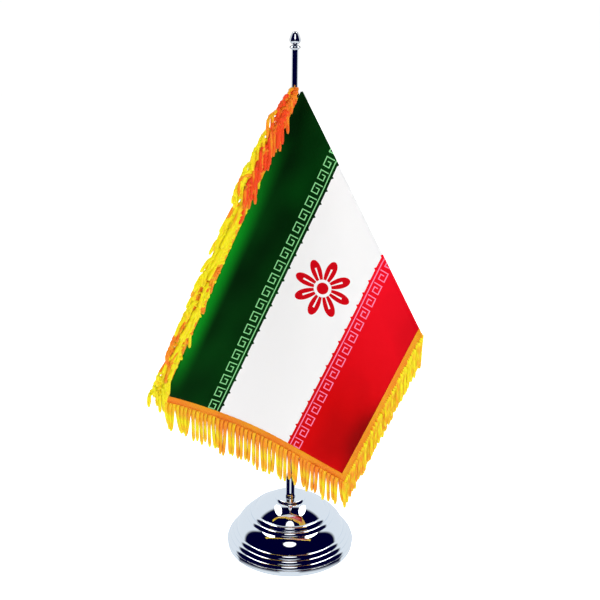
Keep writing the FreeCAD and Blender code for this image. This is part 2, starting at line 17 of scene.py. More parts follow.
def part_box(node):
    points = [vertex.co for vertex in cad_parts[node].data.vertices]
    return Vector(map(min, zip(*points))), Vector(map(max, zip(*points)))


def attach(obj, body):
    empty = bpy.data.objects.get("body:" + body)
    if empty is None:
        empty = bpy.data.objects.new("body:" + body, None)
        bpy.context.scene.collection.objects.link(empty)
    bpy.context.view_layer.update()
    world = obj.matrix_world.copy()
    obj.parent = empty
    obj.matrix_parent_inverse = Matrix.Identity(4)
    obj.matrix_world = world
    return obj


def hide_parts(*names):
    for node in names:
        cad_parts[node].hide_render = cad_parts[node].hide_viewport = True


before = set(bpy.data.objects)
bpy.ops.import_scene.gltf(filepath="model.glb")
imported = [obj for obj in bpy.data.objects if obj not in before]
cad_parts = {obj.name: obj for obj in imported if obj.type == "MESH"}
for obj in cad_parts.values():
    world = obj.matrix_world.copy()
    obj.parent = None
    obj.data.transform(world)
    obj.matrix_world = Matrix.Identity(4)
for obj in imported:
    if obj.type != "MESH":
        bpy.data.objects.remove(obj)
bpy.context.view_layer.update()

# %% [markdown]
# ## Small tools
#
# Blender works in metres and in linear colour. People who make things think in
# millimetres and pick colours as hex codes, so two small functions translate. A third
# adds one node to a material with its settings and its links, which keeps every
# material below short enough to read. Two more put a mesh and an object in the scene.

# %% Millimetres, colours and nodes
MM = 0.001
UP = Vector((0, 0, 1))
DOWN = -UP
MATH = "ShaderNodeMath"


def linear(code):
    """An sRGB hex colour as linear RGBA."""
    channels = [int(code[i:i + 2], 16) / 255 for i in (1, 3, 5)]
    return [c / 12.92 if c <= 0.04045 else ((c + 0.055) / 1.055) ** 2.4 for c in channels] + [1]


def add(tree, kind, inputs=(), **settings):
    """A new node. Inputs are a dict by name or a list in order, of plain values or of the
    output sockets that feed them."""
    node = tree.nodes.new(kind)
    for name, value in settings.items():
        setattr(node, name, value)
    for name, value in inputs.items() if isinstance(inputs, dict) else enumerate(inputs):
        if isinstance(value, bpy.types.NodeSocket):
            tree.links.new(value, node.inputs[name])
        else:
            node.inputs[name].default_value = value
    return node


def new_material(name):
    """An empty material with its Principled shader and output."""
    material = bpy.data.materials.new(name)
    material.use_nodes = True
    tree = material.node_tree
    tree.nodes.clear()
    shader = add(tree, "ShaderNodeBsdfPrincipled")
    add(tree, "ShaderNodeOutputMaterial", {"Surface": shader.outputs["BSDF"]})
    return material, tree, shader


def set_inputs(tree, shader, **values):
    """Sets or links the shader's own sockets. Underscores in a name stand for spaces."""
    for name, value in values.items():
        socket = shader.inputs[name.replace("_", " ")]
        if isinstance(value, bpy.types.NodeSocket):
            tree.links.new(value, socket)
        else:
            socket.default_value = value


def to_mesh(name, shape):
    """The mesh of a finished bmesh, which is freed."""
    mesh = bpy.data.meshes.new(name)
    shape.to_mesh(mesh)
    shape.free()
    return mesh


def put(name, data):
    """A new object in the scene."""
    made = bpy.data.objects.new(name, data)
    bpy.context.scene.collection.objects.link(made)
    return made


print("white is", linear("#ffffff"))

# %% [markdown]
# ## The camera
#
# The stand is looked at from a little above the top of the pole, with the lens level
# sideways but tipped down. A long lens keeps the pole straight. The camera comes first,
# so that every later step can be judged in the final picture.

# %% Camera
CAMERA_PLACE = Vector((5.6, -749, 486.7)) * MM
CAMERA_TIP = math.radians(20.46)
CAMERA_ROLL = math.radians(0.752)
LENS_MM = 65.04
SENSOR_MM = 36

camera = put("camera", bpy.data.cameras.new("camera"))
bpy.context.scene.camera = camera
camera.data.lens = LENS_MM
camera.data.sensor_width = SENSOR_MM
aim = Matrix.Rotation(math.pi / 2 - CAMERA_TIP, 4, "X") @ Matrix.Rotation(CAMERA_ROLL, 4, "Z")
camera.location = CAMERA_PLACE
camera.rotation_euler = aim.to_euler()
camera.data.clip_start = 0.01
print("camera at", tuple(round(c, 3) for c in camera.location))

# %% [markdown]
# ## Floor and studio
#
# Chrome has no colour of its own: it shows the room. Small chromed goods are shot on
# white paper, with a dark room on the camera's side and soft lamps overhead, so that
# the metal has deep darks next to clean whites. The world below is pale behind the
# object and dark navy in front of it for reflections only, and plain white for the
# cloth. The lamps are what the bright windows on the dome are.

# %% Floor
FLOOR_SIZE = 4.0
PAPER_GLOW, PAPER_SEEN = 0.4, 0.6

shape = bmesh.new()
bmesh.ops.create_grid(shape, x_segments=1, y_segments=1, size=FLOOR_SIZE / 2)
floor = put("floor", to_mesh("floor", shape))
floor.location.z = -0.2 * MM
floor.visible_glossy = False

# The paper is lit on its own, so it is pure white to the camera and only softly bright to the flag.
paper, tree, shader = new_material("white_paper")
rays = add(tree, "ShaderNodeLightPath").outputs
glow = add(tree, MATH, [rays["Is Camera Ray"], PAPER_SEEN, PAPER_GLOW], operation="MULTIPLY_ADD")
set_inputs(tree, shader, Base_Color=linear("#ffffff"), Roughness=0.9)
set_inputs(tree, shader, Emission_Color=linear("#ffffff"), Emission_Strength=glow.outputs[0])
floor.data.materials.append(paper)
print("floor", FLOOR_SIZE, "m wide")

# %% [markdown]
# ## The room in the metal
#
# The world shader can draw a whole room from nothing but the direction of a ray. It is
# pale behind the object, and the pale begins further forward at the sides. It is pale
# straight below too, and in a slit low in front, where the paper ends. The rest is dark
# navy. Only glossy rays meet this room. The cloth is lit by plain white instead.

# %% World
ROOM_DARK, ROOM_PALE = "#00002c", "#e4ebf2"
PALE_BEHIND = (0.44, 0.58)
PALE_BELOW = (-0.6, -0.68)
SLIT_SIDES = (0.34, 0.22)
SLIT_TOP = -0.35
SIDES_FORWARD = 0.3
WORLD_GLOW, WORLD_SEEN = 0.3, 0.72


def over(tree, mask, below, above):
    """One colour laid over another where the mask is 1."""
    mixed = add(tree, "ShaderNodeMix", {"Factor": mask}, data_type="RGBA")
    for name, value in (("A", below), ("B", above)):
        if isinstance(value, bpy.types.NodeSocket):
            tree.links.new(value, mixed.inputs[name])
        else:
            mixed.inputs[name].default_value = linear(value)
    return mixed.outputs["Result"]


def joined(tree, operation, masks):
    """Masks made one. MAXIMUM is 1 where any of them is 1, and MULTIPLY where all of them are."""
    found = masks[0]
    for mask in masks[1:]:
        found = add(tree, MATH, [found, mask], operation=operation).outputs[0]
    return found


world = bpy.data.worlds.new("studio")
bpy.context.scene.world = world
world.use_nodes = True
tree = world.node_tree
tree.nodes.clear()
heading = add(tree, "ShaderNodeTexCoord").outputs["Generated"]
x, y, z = add(tree, "ShaderNodeSeparateXYZ", [heading]).outputs
sideways = add(tree, MATH, [x], operation="ABSOLUTE").outputs[0]
behind = add(tree, MATH, [sideways, SIDES_FORWARD, y], operation="MULTIPLY_ADD").outputs[0]
fades = []
for value, limits, easing in [(behind, PALE_BEHIND, "SMOOTHSTEP"), (z, PALE_BELOW, "SMOOTHSTEP"),
                              (sideways, SLIT_SIDES, "LINEAR")]:
    inputs = {"Value": value, "From Min": limits[0], "From Max": limits[1]}
    fades.append(add(tree, "ShaderNodeMapRange", inputs, interpolation_type=easing).outputs[0])
wall, ground, middle = fades
steep = add(tree, MATH, [z, SLIT_TOP], operation="LESS_THAN").outputs[0]
in_front = add(tree, MATH, [y, 0.0], operation="LESS_THAN").outputs[0]
slit = joined(tree, "MULTIPLY", [steep, in_front, middle])
room = over(tree, joined(tree, "MAXIMUM", [wall, ground, slit]), ROOM_DARK, ROOM_PALE)

rays = add(tree, "ShaderNodeLightPath").outputs
seen = over(tree, rays["Is Glossy Ray"], "#ffffff", room)
strength = add(tree, MATH, [rays["Is Camera Ray"], WORLD_SEEN, WORLD_GLOW], operation="MULTIPLY_ADD")
strength = add(tree, MATH, [strength.outputs[0], rays["Is Glossy Ray"]], operation="MAXIMUM")
background = add(tree, "ShaderNodeBackground", {"Color": seen, "Strength": strength.outputs[0]})
add(tree, "ShaderNodeOutputWorld", {"Surface": background.outputs[0]})
bpy.context.scene.view_settings.view_transform = "Standard"
print("world", len(tree.nodes), "nodes")

# %% [markdown]
# ## Lamps
#
# A soft box shows in chrome as a bright window, so its outline matters as much as its
# power. Two long ellipses overhead draw the pair of windows on the crown, and a small
# one in front draws the window on each bulge. Two broad fills light the cloth and are
# kept out of reflections. A black card behind the finial, seen only in the metal, keeps
# the finial's outline dark against the white paper.

# %% Lamps
CEILING = 1.1
STRIP_POWER, FILL_POWER, FRONT_POWER = 2.0, 7.6, 0.8


def soft_box(name, place, turn, width, length, power, shape="RECTANGLE"):
    """A soft box, pointing down until it is turned. The camera itself never sees it."""
    lamp = put(name, bpy.data.lights.new(name, "AREA"))
    lamp.data.shape = shape
    lamp.data.size = width
    lamp.data.size_y = length
    lamp.data.energy = power
    lamp.location = place
    lamp.rotation_euler = [math.radians(angle) for angle in turn]
    lamp.visible_camera = False
    return lamp


for side, name in ((-1, "left"), (1, "right")):
    soft_box(f"strip_{name}", (side * 0.42, 0.36, CEILING), (0, 0, 0), 0.28, 0.85, STRIP_POWER, "ELLIPSE")
    fill = soft_box(f"fill_{name}", (side * 1.2, -0.45, 0.5), (0, side * 75, side * -20), 0.8, 0.8,
                    FILL_POWER)
    fill.visible_glossy = False
soft_box("window_front", (0, -0.63, 0.79), (38, 0, 0), 0.38, 0.62, FRONT_POWER, "ELLIPSE")

# %% Black card
CARD_WIDTH, CARD_BOTTOM, CARD_TOP, CARD_BEHIND = 0.12, 0.33, 0.46, 0.09

shape = bmesh.new()
bmesh.ops.create_grid(shape, x_segments=1, y_segments=1, size=0.5)
bmesh.ops.scale(shape, verts=shape.verts, vec=(CARD_WIDTH, CARD_TOP - CARD_BOTTOM, 1))
upright = Matrix.Rotation(math.pi / 2, 3, "X")
bmesh.ops.rotate(shape, verts=shape.verts, cent=(0, 0, 0), matrix=upright)
bmesh.ops.translate(shape, verts=shape.verts, vec=(0, CARD_BEHIND, (CARD_TOP + CARD_BOTTOM) / 2))
card = put("black_card", to_mesh("black_card", shape))
card.visible_camera = False
card.visible_diffuse = False
card.visible_shadow = False
black, tree, shader = new_material("black_paper")
set_inputs(tree, shader, Base_Color=linear("#000018"), Roughness=1.0, Specular_IOR_Level=0.0)
card.data.materials.append(black)
print("card from", CARD_BOTTOM, "to", CARD_TOP, "m")

# %% [markdown]
# ## Metals
#
# Decorative chrome is a thin plate over polished nickel: cool, very smooth, and never
# quite perfect. A faint long ripple from the polishing wheel bends the reflections a
# little. A metal keeps the default IOR, since its colour comes from the base colour.

# %% Chrome plate
def make_chrome(name, code, roughness, ripple):
    """Polished chrome plate. The base colour is what it gives back of the room."""
    material, tree, shader = new_material(name)
    place = add(tree, "ShaderNodeTexCoord").outputs["Object"]
    waves = add(tree, "ShaderNodeTexNoise", {"Vector": place, "Scale": 45.0, "Detail": 1.0})
    bump = add(tree, "ShaderNodeBump", {"Height": waves.outputs[0], "Strength": ripple,
                                        "Distance": 0.2 * MM})
    haze = add(tree, "ShaderNodeTexNoise", {"Vector": place, "Scale": 220.0, "Detail": 3.0})
    rough = add(tree, "ShaderNodeMapRange", {"Value": haze.outputs[0], "To Min": roughness * 0.6,
                                             "To Max": roughness * 1.5})
    set_inputs(tree, shader, Base_Color=linear(code), Metallic=1.0, Roughness=rough.outputs[0],
               Normal=bump.outputs[0])
    return material


chrome = make_chrome("chrome_plate", "#f0f4f8", 0.035, 0.12)
print("chrome", len(chrome.node_tree.nodes), "nodes")

# %% Hidden metals
def make_rough_metal(name, light, dark, grain, low, high, metallic, relief):
    """A plated or cast surface: two tones, mottled at the size of its grain in mm."""
    material, tree, shader = new_material(name)
    place = add(tree, "ShaderNodeTexCoord").outputs["Object"]
    mottle = add(tree, "ShaderNodeTexNoise", {"Vector": place, "Scale": 1 / (grain * MM), "Detail": 4.0})
    tone = over(tree, mottle.outputs[0], dark, light)
    rough = add(tree, "ShaderNodeMapRange", {"Value": mottle.outputs[0], "To Min": low, "To Max": high})
    bump = add(tree, "ShaderNodeBump", {"Height": mottle.outputs[0], "Strength": 0.6,
                                        "Distance": relief * MM})
    set_inputs(tree, shader, Base_Color=tone, Metallic=metallic,
               Roughness=rough.outputs[0], Normal=bump.outputs[0])
    return material


# Sand-cast grey iron: dull, dark and pebbled by the sand, whose grains are drawn 0.8 mm wide.
cast_iron = make_rough_metal("sand_cast_iron", "#5b5a58", "#33322f", 0.8, 0.55, 0.8, 0.7, 0.25)
# Zinc plate with a clear passivate: bright, bluish, with a crystalline mottle.
zinc = make_rough_metal("zinc_plate", "#c9ced6", "#a7a48f", 1.5, 0.22, 0.4, 1.0, 0.02)
# Black stove enamel on sheet steel: even, with a fine orange peel.
enamel = make_rough_metal("black_stove_enamel", "#1d1d1f", "#121214", 1.2, 0.35, 0.5, 0.0, 0.05)
# EVA foam with closed cells about 0.7 mm across: soft black with no shine.
foam = make_rough_metal("eva_foam", "#26272a", "#151517", 0.7, 0.85, 0.95, 0.0, 0.2)
print("metals", [m.name for m in bpy.data.materials])

# %% Silicone
rubber, tree, shader = new_material("clear_silicone")
place = add(tree, "ShaderNodeTexCoord").outputs["Object"]
cloud = add(tree, "ShaderNodeTexNoise", {"Vector": place, "Scale": 400.0, "Detail": 2.0})
rough = add(tree, "ShaderNodeMapRange", {"Value": cloud.outputs[0], "To Min": 0.25, "To Max": 0.45})
# Clear silicone passes most light and blurs it, with an IOR of 1.41.
set_inputs(tree, shader, Base_Color=linear("#e6ebee"), Roughness=rough.outputs[0], IOR=1.41,
           Transmission_Weight=0.7)
print("silicone", len(tree.nodes), "nodes")

# %% [markdown]
# ## Turning metal parts
#
# The dome, collar, ferrule, pole, disc and tip are all round about the pole. Each one
# starts as half of its section, drawn from the few corners the turner would measure,
# with arcs for the round stretches. A spin then makes the part. Real edges are never
# sharp, so corners get a small arc too, and it catches a line of light.

# %% Arcs and spins
ARC_STEP = math.radians(6)


def arc(start, finish, radius):
    """Points of the short arc from start to finish, without its start.

    Its centre is on the right of the run for a positive radius and on the left for a negative one.
    """
    start, finish = Vector(start), Vector(finish)
    chord = finish - start
    square = Vector((chord.y, -chord.x)).normalized()
    rise = math.sqrt(max(radius ** 2 - chord.length_squared / 4, 0))
    centre = (start + finish) / 2 + square * math.copysign(rise, radius)
    first = math.atan2(start.y - centre.y, start.x - centre.x)
    last = math.atan2(finish.y - centre.y, finish.x - centre.x)
    turn = (last - first + math.pi) % (2 * math.pi) - math.pi
    steps = max(4, round(abs(turn) / ARC_STEP))
    angles = [first + turn * (i + 1) / steps for i in range(steps)]
    return [centre + Vector((math.cos(a), math.sin(a))) * abs(radius) for a in angles]


def eased(before, corner, after, radius):
    """A rounded corner between two straight runs."""
    before, corner, after = Vector(before), Vector(corner), Vector(after)
    into = (before - corner).normalized()
    out = (after - corner).normalized()
    half = into.angle(out) / 2
    reach = radius / math.tan(half)
    centre = corner + (into + out).normalized() * (radius / math.sin(half))
    start = corner + into * reach - centre
    turn = start.angle_signed(corner + out * reach - centre)
    steps = max(3, round(abs(turn) / ARC_STEP / 2))
    return [centre + Matrix.Rotation(-turn * i / steps, 2) @ start for i in range(steps + 1)]


def ring_outline(corners, roundings):
    """A closed outline through corners, each with its own rounding in mm, or None for sharp."""
    count = len(corners)
    found = []
    for i, radius in enumerate(roundings):
        if radius is None:
            found.append(Vector(corners[i]))
        else:
            found += eased(corners[i - 1], corners[i], corners[(i + 1) % count], radius)
    return found


def turned(name, outline, material, body, slot, *nodes, closed=True, wall=0.0, steps=144):
    """Spins an outline in mm (radius, height) about the pole's axis into one finished piece."""
    shape = bmesh.new()
    points = [shape.verts.new((p[0] * MM, 0, p[1] * MM)) for p in outline]
    pairs = list(zip(points, points[1:])) + ([(points[-1], points[0])] if closed else [])
    edges = [shape.edges.new(pair) for pair in pairs]
    bmesh.ops.spin(shape, geom=points + edges, axis=UP, cent=(0, 0, 0), dvec=(0, 0, 0),
                   angle=2 * math.pi, steps=steps, use_merge=True, use_duplicate=False)
    bmesh.ops.remove_doubles(shape, verts=shape.verts, dist=1e-6)
    bmesh.ops.dissolve_degenerate(shape, dist=1e-7, edges=shape.edges)
    bmesh.ops.recalc_face_normals(shape, faces=shape.faces)
    if wall:
        outward = sum(f.normal.dot(f.calc_center_median()) for f in shape.faces)
        if outward < 0:
            bmesh.ops.reverse_faces(shape, faces=shape.faces)
        bmesh.ops.solidify(shape, geom=shape.faces, thickness=wall * MM)
    return finish_piece(name, shape, material, body, slot, *nodes)


def finish_piece(name, shape, material, body, slot, *nodes, sharp=40):
    """Turns a bmesh into a smooth-shaded object that rides on its body."""
    mesh = to_mesh(name, shape)
    mesh.shade_smooth()
    mesh.set_sharp_from_angle(angle=math.radians(sharp))
    mesh.materials.append(material)
    piece = put(name, mesh)
    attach(piece, body)
    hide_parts(*nodes)
    print(name, len(mesh.polygons), "faces")
    return piece


def high(node):
    """The height of a CAD node's top, in mm."""
    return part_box(node)[1].z / MM


def low(node):
    """The height of a CAD node's bottom, in mm."""
    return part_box(node)[0].z / MM


# %% [markdown]
# ## The dome
#
# The dome is one pressing of thin sheet. It steps down from the crown: a wide swell,
# two narrow beads, a full bulge, three close steps and a straight rim. A press leaves
# each groove a little open, so the arcs meet at real corners and only the rim is eased.
# The wall comes from Solidify, as a pressing has the same thickness all over.

# %% Dome
SHELL_WALL = 0.8
CROWN = (12.4, high("base_shell"))
CROWN_HOLE = 2.75
SWELL_END = (28.0, 31.6)
BEAD_ENDS = [(31.1, 28.7), (34.2, 25.8)]
BULGE_END = (42.4, 15.4)
STEP_ENDS = [(44.73, 12.27), (47.07, 9.13), (49.4, 6.0)]
RIM_TOP = (50.0, 5.4)
RIM_BOTTOM = (49.5, low("base_shell"))
SWELL_ROUND, BEAD_ROUND, BULGE_ROUND, STEP_ROUND, RIM_ROUND = 30.0, 2.5, 13.0, 2.6, 0.6

outline = [Vector((CROWN_HOLE, CROWN[1])), Vector(CROWN)]
runs = [(SWELL_END, SWELL_ROUND)] + [(end, BEAD_ROUND) for end in BEAD_ENDS]
runs += [(BULGE_END, BULGE_ROUND)] + [(end, STEP_ROUND) for end in STEP_ENDS] + [(RIM_TOP, RIM_ROUND)]
for end, radius in runs:
    outline += arc(outline[-1], end, radius)
outline.append(Vector(RIM_BOTTOM))
turned("chrome_dome", outline, chrome, "base", "chrome", "base_shell", closed=False, wall=SHELL_WALL,
       steps=180)

# %% [markdown]
# ## Collar, ferrule and pole
#
# The collar is a small turned washer with a domed top that covers the hole in the
# crown. The ferrule stands in it and holds the pole, whose end is crimped in. These are
# solid turned parts, so their outlines are closed.

# %% Collar, ferrule and pole
COLLAR_HOLE = 2.75
COLLAR_RADIUS = 12.0
COLLAR_ROUND = 1.0
collar_bottom, collar_top = low("rosette"), high("rosette")
corners = [(COLLAR_HOLE, collar_bottom), (COLLAR_RADIUS, collar_bottom), (COLLAR_RADIUS, collar_top),
           (COLLAR_HOLE, collar_top)]
turned("chrome_collar", ring_outline(corners, [None, 0.2, COLLAR_ROUND, 0.2]), chrome, "rosette",
       "chrome", "rosette")

FERRULE_RADIUS = 3.8
FERRULE_LIP_RADIUS = 4.3
FERRULE_LIP = 1.4
FERRULE_TAPER = 3.0
STUD_HOLE = 2.55
SOCKET_HOLE = 2.2
STUD_DEPTH = 9.4
SOCKET_FLOOR = 54.6
bottom, top = low("pole_ferrule"), high("pole_ferrule")
corners = [(STUD_HOLE, bottom), (FERRULE_LIP_RADIUS, bottom), (FERRULE_LIP_RADIUS, bottom + FERRULE_LIP),
           (FERRULE_RADIUS, bottom + FERRULE_LIP + 0.5), (FERRULE_RADIUS, top - FERRULE_TAPER),
           (SOCKET_HOLE + 0.35, top), (SOCKET_HOLE, top), (SOCKET_HOLE, SOCKET_FLOOR),
           (0.0, SOCKET_FLOOR), (0.0, bottom + STUD_DEPTH), (STUD_HOLE, bottom + STUD_DEPTH)]
roundings = [None, 0.25, 0.25, 0.25, 0.4, 0.1, None, None, None, None, None]
turned("chrome_ferrule", ring_outline(corners, roundings), chrome, "pole", "chrome", "pole_ferrule",
       steps=48)

POLE_RADIUS = 2.15
FINIAL_HOLE = 1.27
bottom, top = low("pole_rod"), high("pole_rod")
hole_floor = low("finial_stud") - 0.2
corners = [(0.0, bottom), (POLE_RADIUS, bottom), (POLE_RADIUS, top), (FINIAL_HOLE, top),
           (FINIAL_HOLE, hole_floor), (0.0, hole_floor)]
turned("chrome_pole", ring_outline(corners, [None, 0.3, 0.3, 0.05, None, None]), chrome, "pole",
       "chrome", "pole_rod", steps=48)

# %% [markdown]
# ## Finial
#
# The tip is two turned parts: a sharp-rimmed disc and a bud that screws down on it. The
# bud is widest low down and runs up in two long arcs to a blunt tip, like an acorn.

# %% Finial disc and bud
DISC_RADIUS = 3.7
DISC_EDGE = 0.5
NECK_RADIUS = 1.7
STUD_RADIUS = 1.25
bottom, top = low("finial_disc"), high("finial_disc")
middle = (bottom + top) / 2
corners = [(FINIAL_HOLE, bottom), (POLE_RADIUS, bottom), (DISC_RADIUS, middle - DISC_EDGE / 2),
           (DISC_RADIUS, middle + DISC_EDGE / 2), (NECK_RADIUS, top), (FINIAL_HOLE, top)]
turned("finial_disc_turned", ring_outline(corners, [None, 0.1, 0.15, 0.15, 0.1, None]), chrome,
       "finial_disc", "chrome", "finial_disc", steps=64)

BUD_NECK = 0.6
BUD_RADIUS = 3.85
BUD_WIDEST = 2.6
BUD_TIP_RADIUS = 1.7
BUD_TIP_ROUND = 2.1
BUD_TIP_DEPTH = 0.35
BUD_SIDE_ROUND = 16.0
STUD_HOLD = 4.0
bottom, top = low("finial_acorn"), high("finial_acorn")
seat = bottom + BUD_NECK
outline = [Vector(p) for p in [(STUD_RADIUS, bottom), (NECK_RADIUS, bottom), (NECK_RADIUS, seat)]]
outline += arc(outline[-1], (BUD_RADIUS, seat + BUD_WIDEST), -BUD_RADIUS)
outline += arc(outline[-1], (BUD_TIP_RADIUS, top - BUD_TIP_DEPTH), -BUD_SIDE_ROUND)
outline += arc(outline[-1], (0, top), -BUD_TIP_ROUND)
outline += [Vector((0, seat + STUD_HOLD)), Vector((STUD_RADIUS, seat + STUD_HOLD))]
turned("finial_bud", outline, chrome, "finial_acorn", "chrome", "finial_acorn", steps=64)

# %% [markdown]
# ## Parts that stay as CAD drew them
#
# The weight, the plate, the foot pad and the screw parts are plain real shapes already,
# so they keep their CAD meshes and only need their finish.

# %% Finishes for the CAD parts
FINISHES = {
    "base_pad": foam,
    "base_plate": enamel,
    "base_ballast": cast_iron,
    "pole_stud": zinc,
    "clamp_washer": zinc,
    "spring_washer": zinc,
    "clamp_nut": zinc,
    "finial_stud": zinc,
}
for node, finish in FINISHES.items():
    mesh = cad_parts[node].data
    mesh.materials.clear()
    mesh.materials.append(finish)
print("finished", list(FINISHES))

# %% Stop ring
# A slice of silicone tube with eased rims, which grips the pole below the sleeve.
RING_HOLE, RING_EDGE, RING_ROUND = 2.2, 4.2, 0.7
bottom, top = low("height_ring"), high("height_ring")
corners = [(RING_HOLE, bottom), (RING_EDGE, bottom), (RING_EDGE, top), (RING_HOLE, top)]
turned("silicone_stop", ring_outline(corners, [0.2, RING_ROUND, RING_ROUND, 0.2]), rubber,
       "stop_ring", "clear_rubber", "height_ring", steps=48)

# %% [markdown]
# ## How the flag hangs
#
# Cloth bends easily and hardly stretches. A sheet that hangs from one corner takes the
# shape of a cone: each straight line out of that corner stays straight and keeps its
# length, and only its direction changes. So one function can hang the whole flag. It is
# given a point of the flat flag, as its distance along the fly and down the hoist, and
# it returns where that point comes to rest. A cloth simulation would find much the same
# shape, but slower and never twice alike on different machines.
#
# From the pole the cloth falls back to a fold, goes round it, and comes forward as the
# front panel, whose top edge ends up as the long steep edge on the left.

# %% Sizes of the flag
FLAG_LENGTH = 236 * MM
FLAG_WIDTH = 148 * MM
CORNER_AZIMUTH = math.radians(-48)
SEAM_REACH = 3.0 * MM
SLEEVE_RADIUS = -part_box("pole_sleeve")[0].x
FLAG_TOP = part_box("pole_sleeve")[1].z
FOLD_AZIMUTH = math.radians(-31.2)
FOLD_TILT = math.radians(32.1)
FOLD_ANGLE = math.radians(35.9)
FOLD_RADIUS = 1.5 * MM
FOLD_OPENS_OVER = 45 * MM
FOLD_TIP_RADIUS = 0.2 * MM
TOP_ANGLE = math.pi / 2
CORNER_ANGLE = math.atan2(FLAG_LENGTH, FLAG_WIDTH)

across = Vector((math.cos(FOLD_AZIMUTH), math.sin(FOLD_AZIMUTH), 0))
fold = across * math.sin(FOLD_TILT) + DOWN * math.cos(FOLD_TILT)
towards_front = fold.cross(UP).normalized()
uphill = towards_front.cross(fold)
reach = SLEEVE_RADIUS + SEAM_REACH
corner = Vector((reach * math.cos(CORNER_AZIMUTH), reach * math.sin(CORNER_AZIMUTH), FLAG_TOP))
corner -= towards_front * FOLD_RADIUS
print("hoist's top corner", tuple(round(c, 4) for c in corner))

# %% The front panel's lines
MARCH_STEPS = 240
START_HEADING = math.radians(-80)
BOW_START, BOW_CHANGE = 0.36, -2.84
RIPPLE, RIPPLES = 1.5, 2.6


def march():
    """Directions of the front panel's lines, and which way they turn, at even steps of angle."""
    line = fold.copy()
    turning = towards_front * math.cos(START_HEADING) + uphill * math.sin(START_HEADING)
    step = (TOP_ANGLE - FOLD_ANGLE) / MARCH_STEPS
    found = [(line.copy(), turning.copy())]
    for i in range(MARCH_STEPS):
        share = (i + 0.5) / MARCH_STEPS
        bow = BOW_START + BOW_CHANGE * share
        bow += RIPPLE * math.sin(2 * math.pi * RIPPLES * share) * math.sin(math.pi * share)
        axis = line * bow + line.cross(turning)
        spin = Matrix.Rotation(step * axis.length, 3, axis)
        line, turning = spin @ line, spin @ turning
        found.append((line.copy(), turning.copy()))
    return found


marched = march()
print("the top edge runs along", tuple(round(c, 3) for c in marched[-1][0]))

# %% The back panel's lines
BACK_WAVE = math.radians(2.9)
back_side = DOWN.cross(fold).normalized()


def back_line(share):
    """Direction of a line between the hoist, at 0, and the fold, at 1. Slack cloth makes an S."""
    spread = DOWN.angle(fold)
    level = (DOWN * math.sin(spread * (1 - share)) + fold * math.sin(spread * share)) / math.sin(spread)
    return (level + back_side * math.sin(BACK_WAVE * math.sin(2 * math.pi * share))).normalized()


NUDGE = 1e-3
back_turning = (back_line(1) - back_line(1 - NUDGE)).normalized()
print("the back panel leaves the fold along", tuple(round(c, 3) for c in back_turning))

# %% Where a point of the flat flag hangs
def hang(along, down):
    """The place of a point of the flat flag, from its distance along the fly and down the hoist."""
    angle = math.atan2(along, down)
    distance = math.hypot(along, down)
    radius = FOLD_RADIUS * (1 - math.exp(-distance / FOLD_OPENS_OVER)) + FOLD_TIP_RADIUS
    quarter = radius * math.pi / 2
    past = distance * math.sin(angle - FOLD_ANGLE)
    centre = corner - uphill * radius
    if abs(past) < quarter:
        turn = past / radius
        round_fold = uphill * math.cos(turn) + towards_front * math.sin(turn)
        return centre + fold * distance * math.cos(angle - FOLD_ANGLE) + round_fold * radius
    if past < 0:
        start = centre - towards_front * radius + back_turning * quarter
        return start + back_line(angle / FOLD_ANGLE) * distance
    start = centre + towards_front * radius - marched[0][1] * quarter
    place = (angle - FOLD_ANGLE) / (TOP_ANGLE - FOLD_ANGLE) * MARCH_STEPS
    index = min(int(place), MARCH_STEPS)
    line, turning = marched[index]
    rest = (place - index) * (TOP_ANGLE - FOLD_ANGLE) / MARCH_STEPS
    return start + (line * math.cos(rest) + turning * math.sin(rest)) * distance


def frame_at(along, down):
    """The place of a point, the cloth's two directions there, and the normal of its face."""
    step = 0.3 * MM
    place = hang(along, down)
    fly = (hang(along + step, down) - place).normalized()
    drop = (hang(along, down + step) - place).normalized()
    return place, fly, drop, fly.cross(drop).normalized()


for name, along, down in [("fly top", FLAG_LENGTH, 0), ("fly bottom", FLAG_LENGTH, FLAG_WIDTH),
                          ("hoist bottom", 0, FLAG_WIDTH)]:
    print(name, tuple(round(c * 1000, 1) for c in hang(along, down)))

# %% [markdown]
# ## Printed satin
#
# Satin is woven so that long threads float on its face, which makes it smooth and gives
# it a soft sheen that runs across the threads. The three stripes, the two borders and
# the flower are printed. A print follows the cloth, so the pattern is drawn in the flat
# flag's own coordinates, which each piece of cloth carries as its UV map.
#
# The borders are a plain running key, made of bars on a small square grid, and the
# flower is a plain eight-petalled rosette made from the angle round its centre.

# %% The running key
GREEN_ENDS = 0.311
WHITE_ENDS = 0.689
KEY_CELL = 1.15
KEY_CELLS = 9
KEY_BARS = [(0, 9, 0, 0.65), (0.6, 1.25, 1.3, 7), (0.6, 7, 6.35, 7), (6.35, 7, 2.4, 7), (3, 7, 2.4, 3.05),
            (3, 3.65, 2.4, 5)]
KEY_START = 1.9
TOOTH_LENGTH = 1.3
TOOTH_TAPER = 0.9


def inside(tree, value, start, finish):
    """1 where a value lies between two limits, 0 elsewhere."""
    middle, half = (start + finish) / 2, (finish - start) / 2
    return add(tree, MATH, [value, middle, half], operation="COMPARE").outputs[0]


def running_key(tree, fly, away):
    """A running key along the fly. away is the distance from the stripe's edge, in mm."""
    cell = add(tree, MATH, [fly, KEY_CELL], operation="DIVIDE").outputs[0]
    column = add(tree, MATH, [cell, float(KEY_CELLS)], operation="FLOORED_MODULO").outputs[0]
    row = add(tree, MATH, [away, KEY_START], operation="SUBTRACT").outputs[0]
    row = add(tree, MATH, [row, KEY_CELL], operation="DIVIDE").outputs[0]
    bars = []
    for left, right, bottom, top in KEY_BARS:
        sides = [inside(tree, column, left, right), inside(tree, row, bottom, top)]
        bars.append(joined(tree, "MULTIPLY", sides))
    return joined(tree, "MAXIMUM", bars)


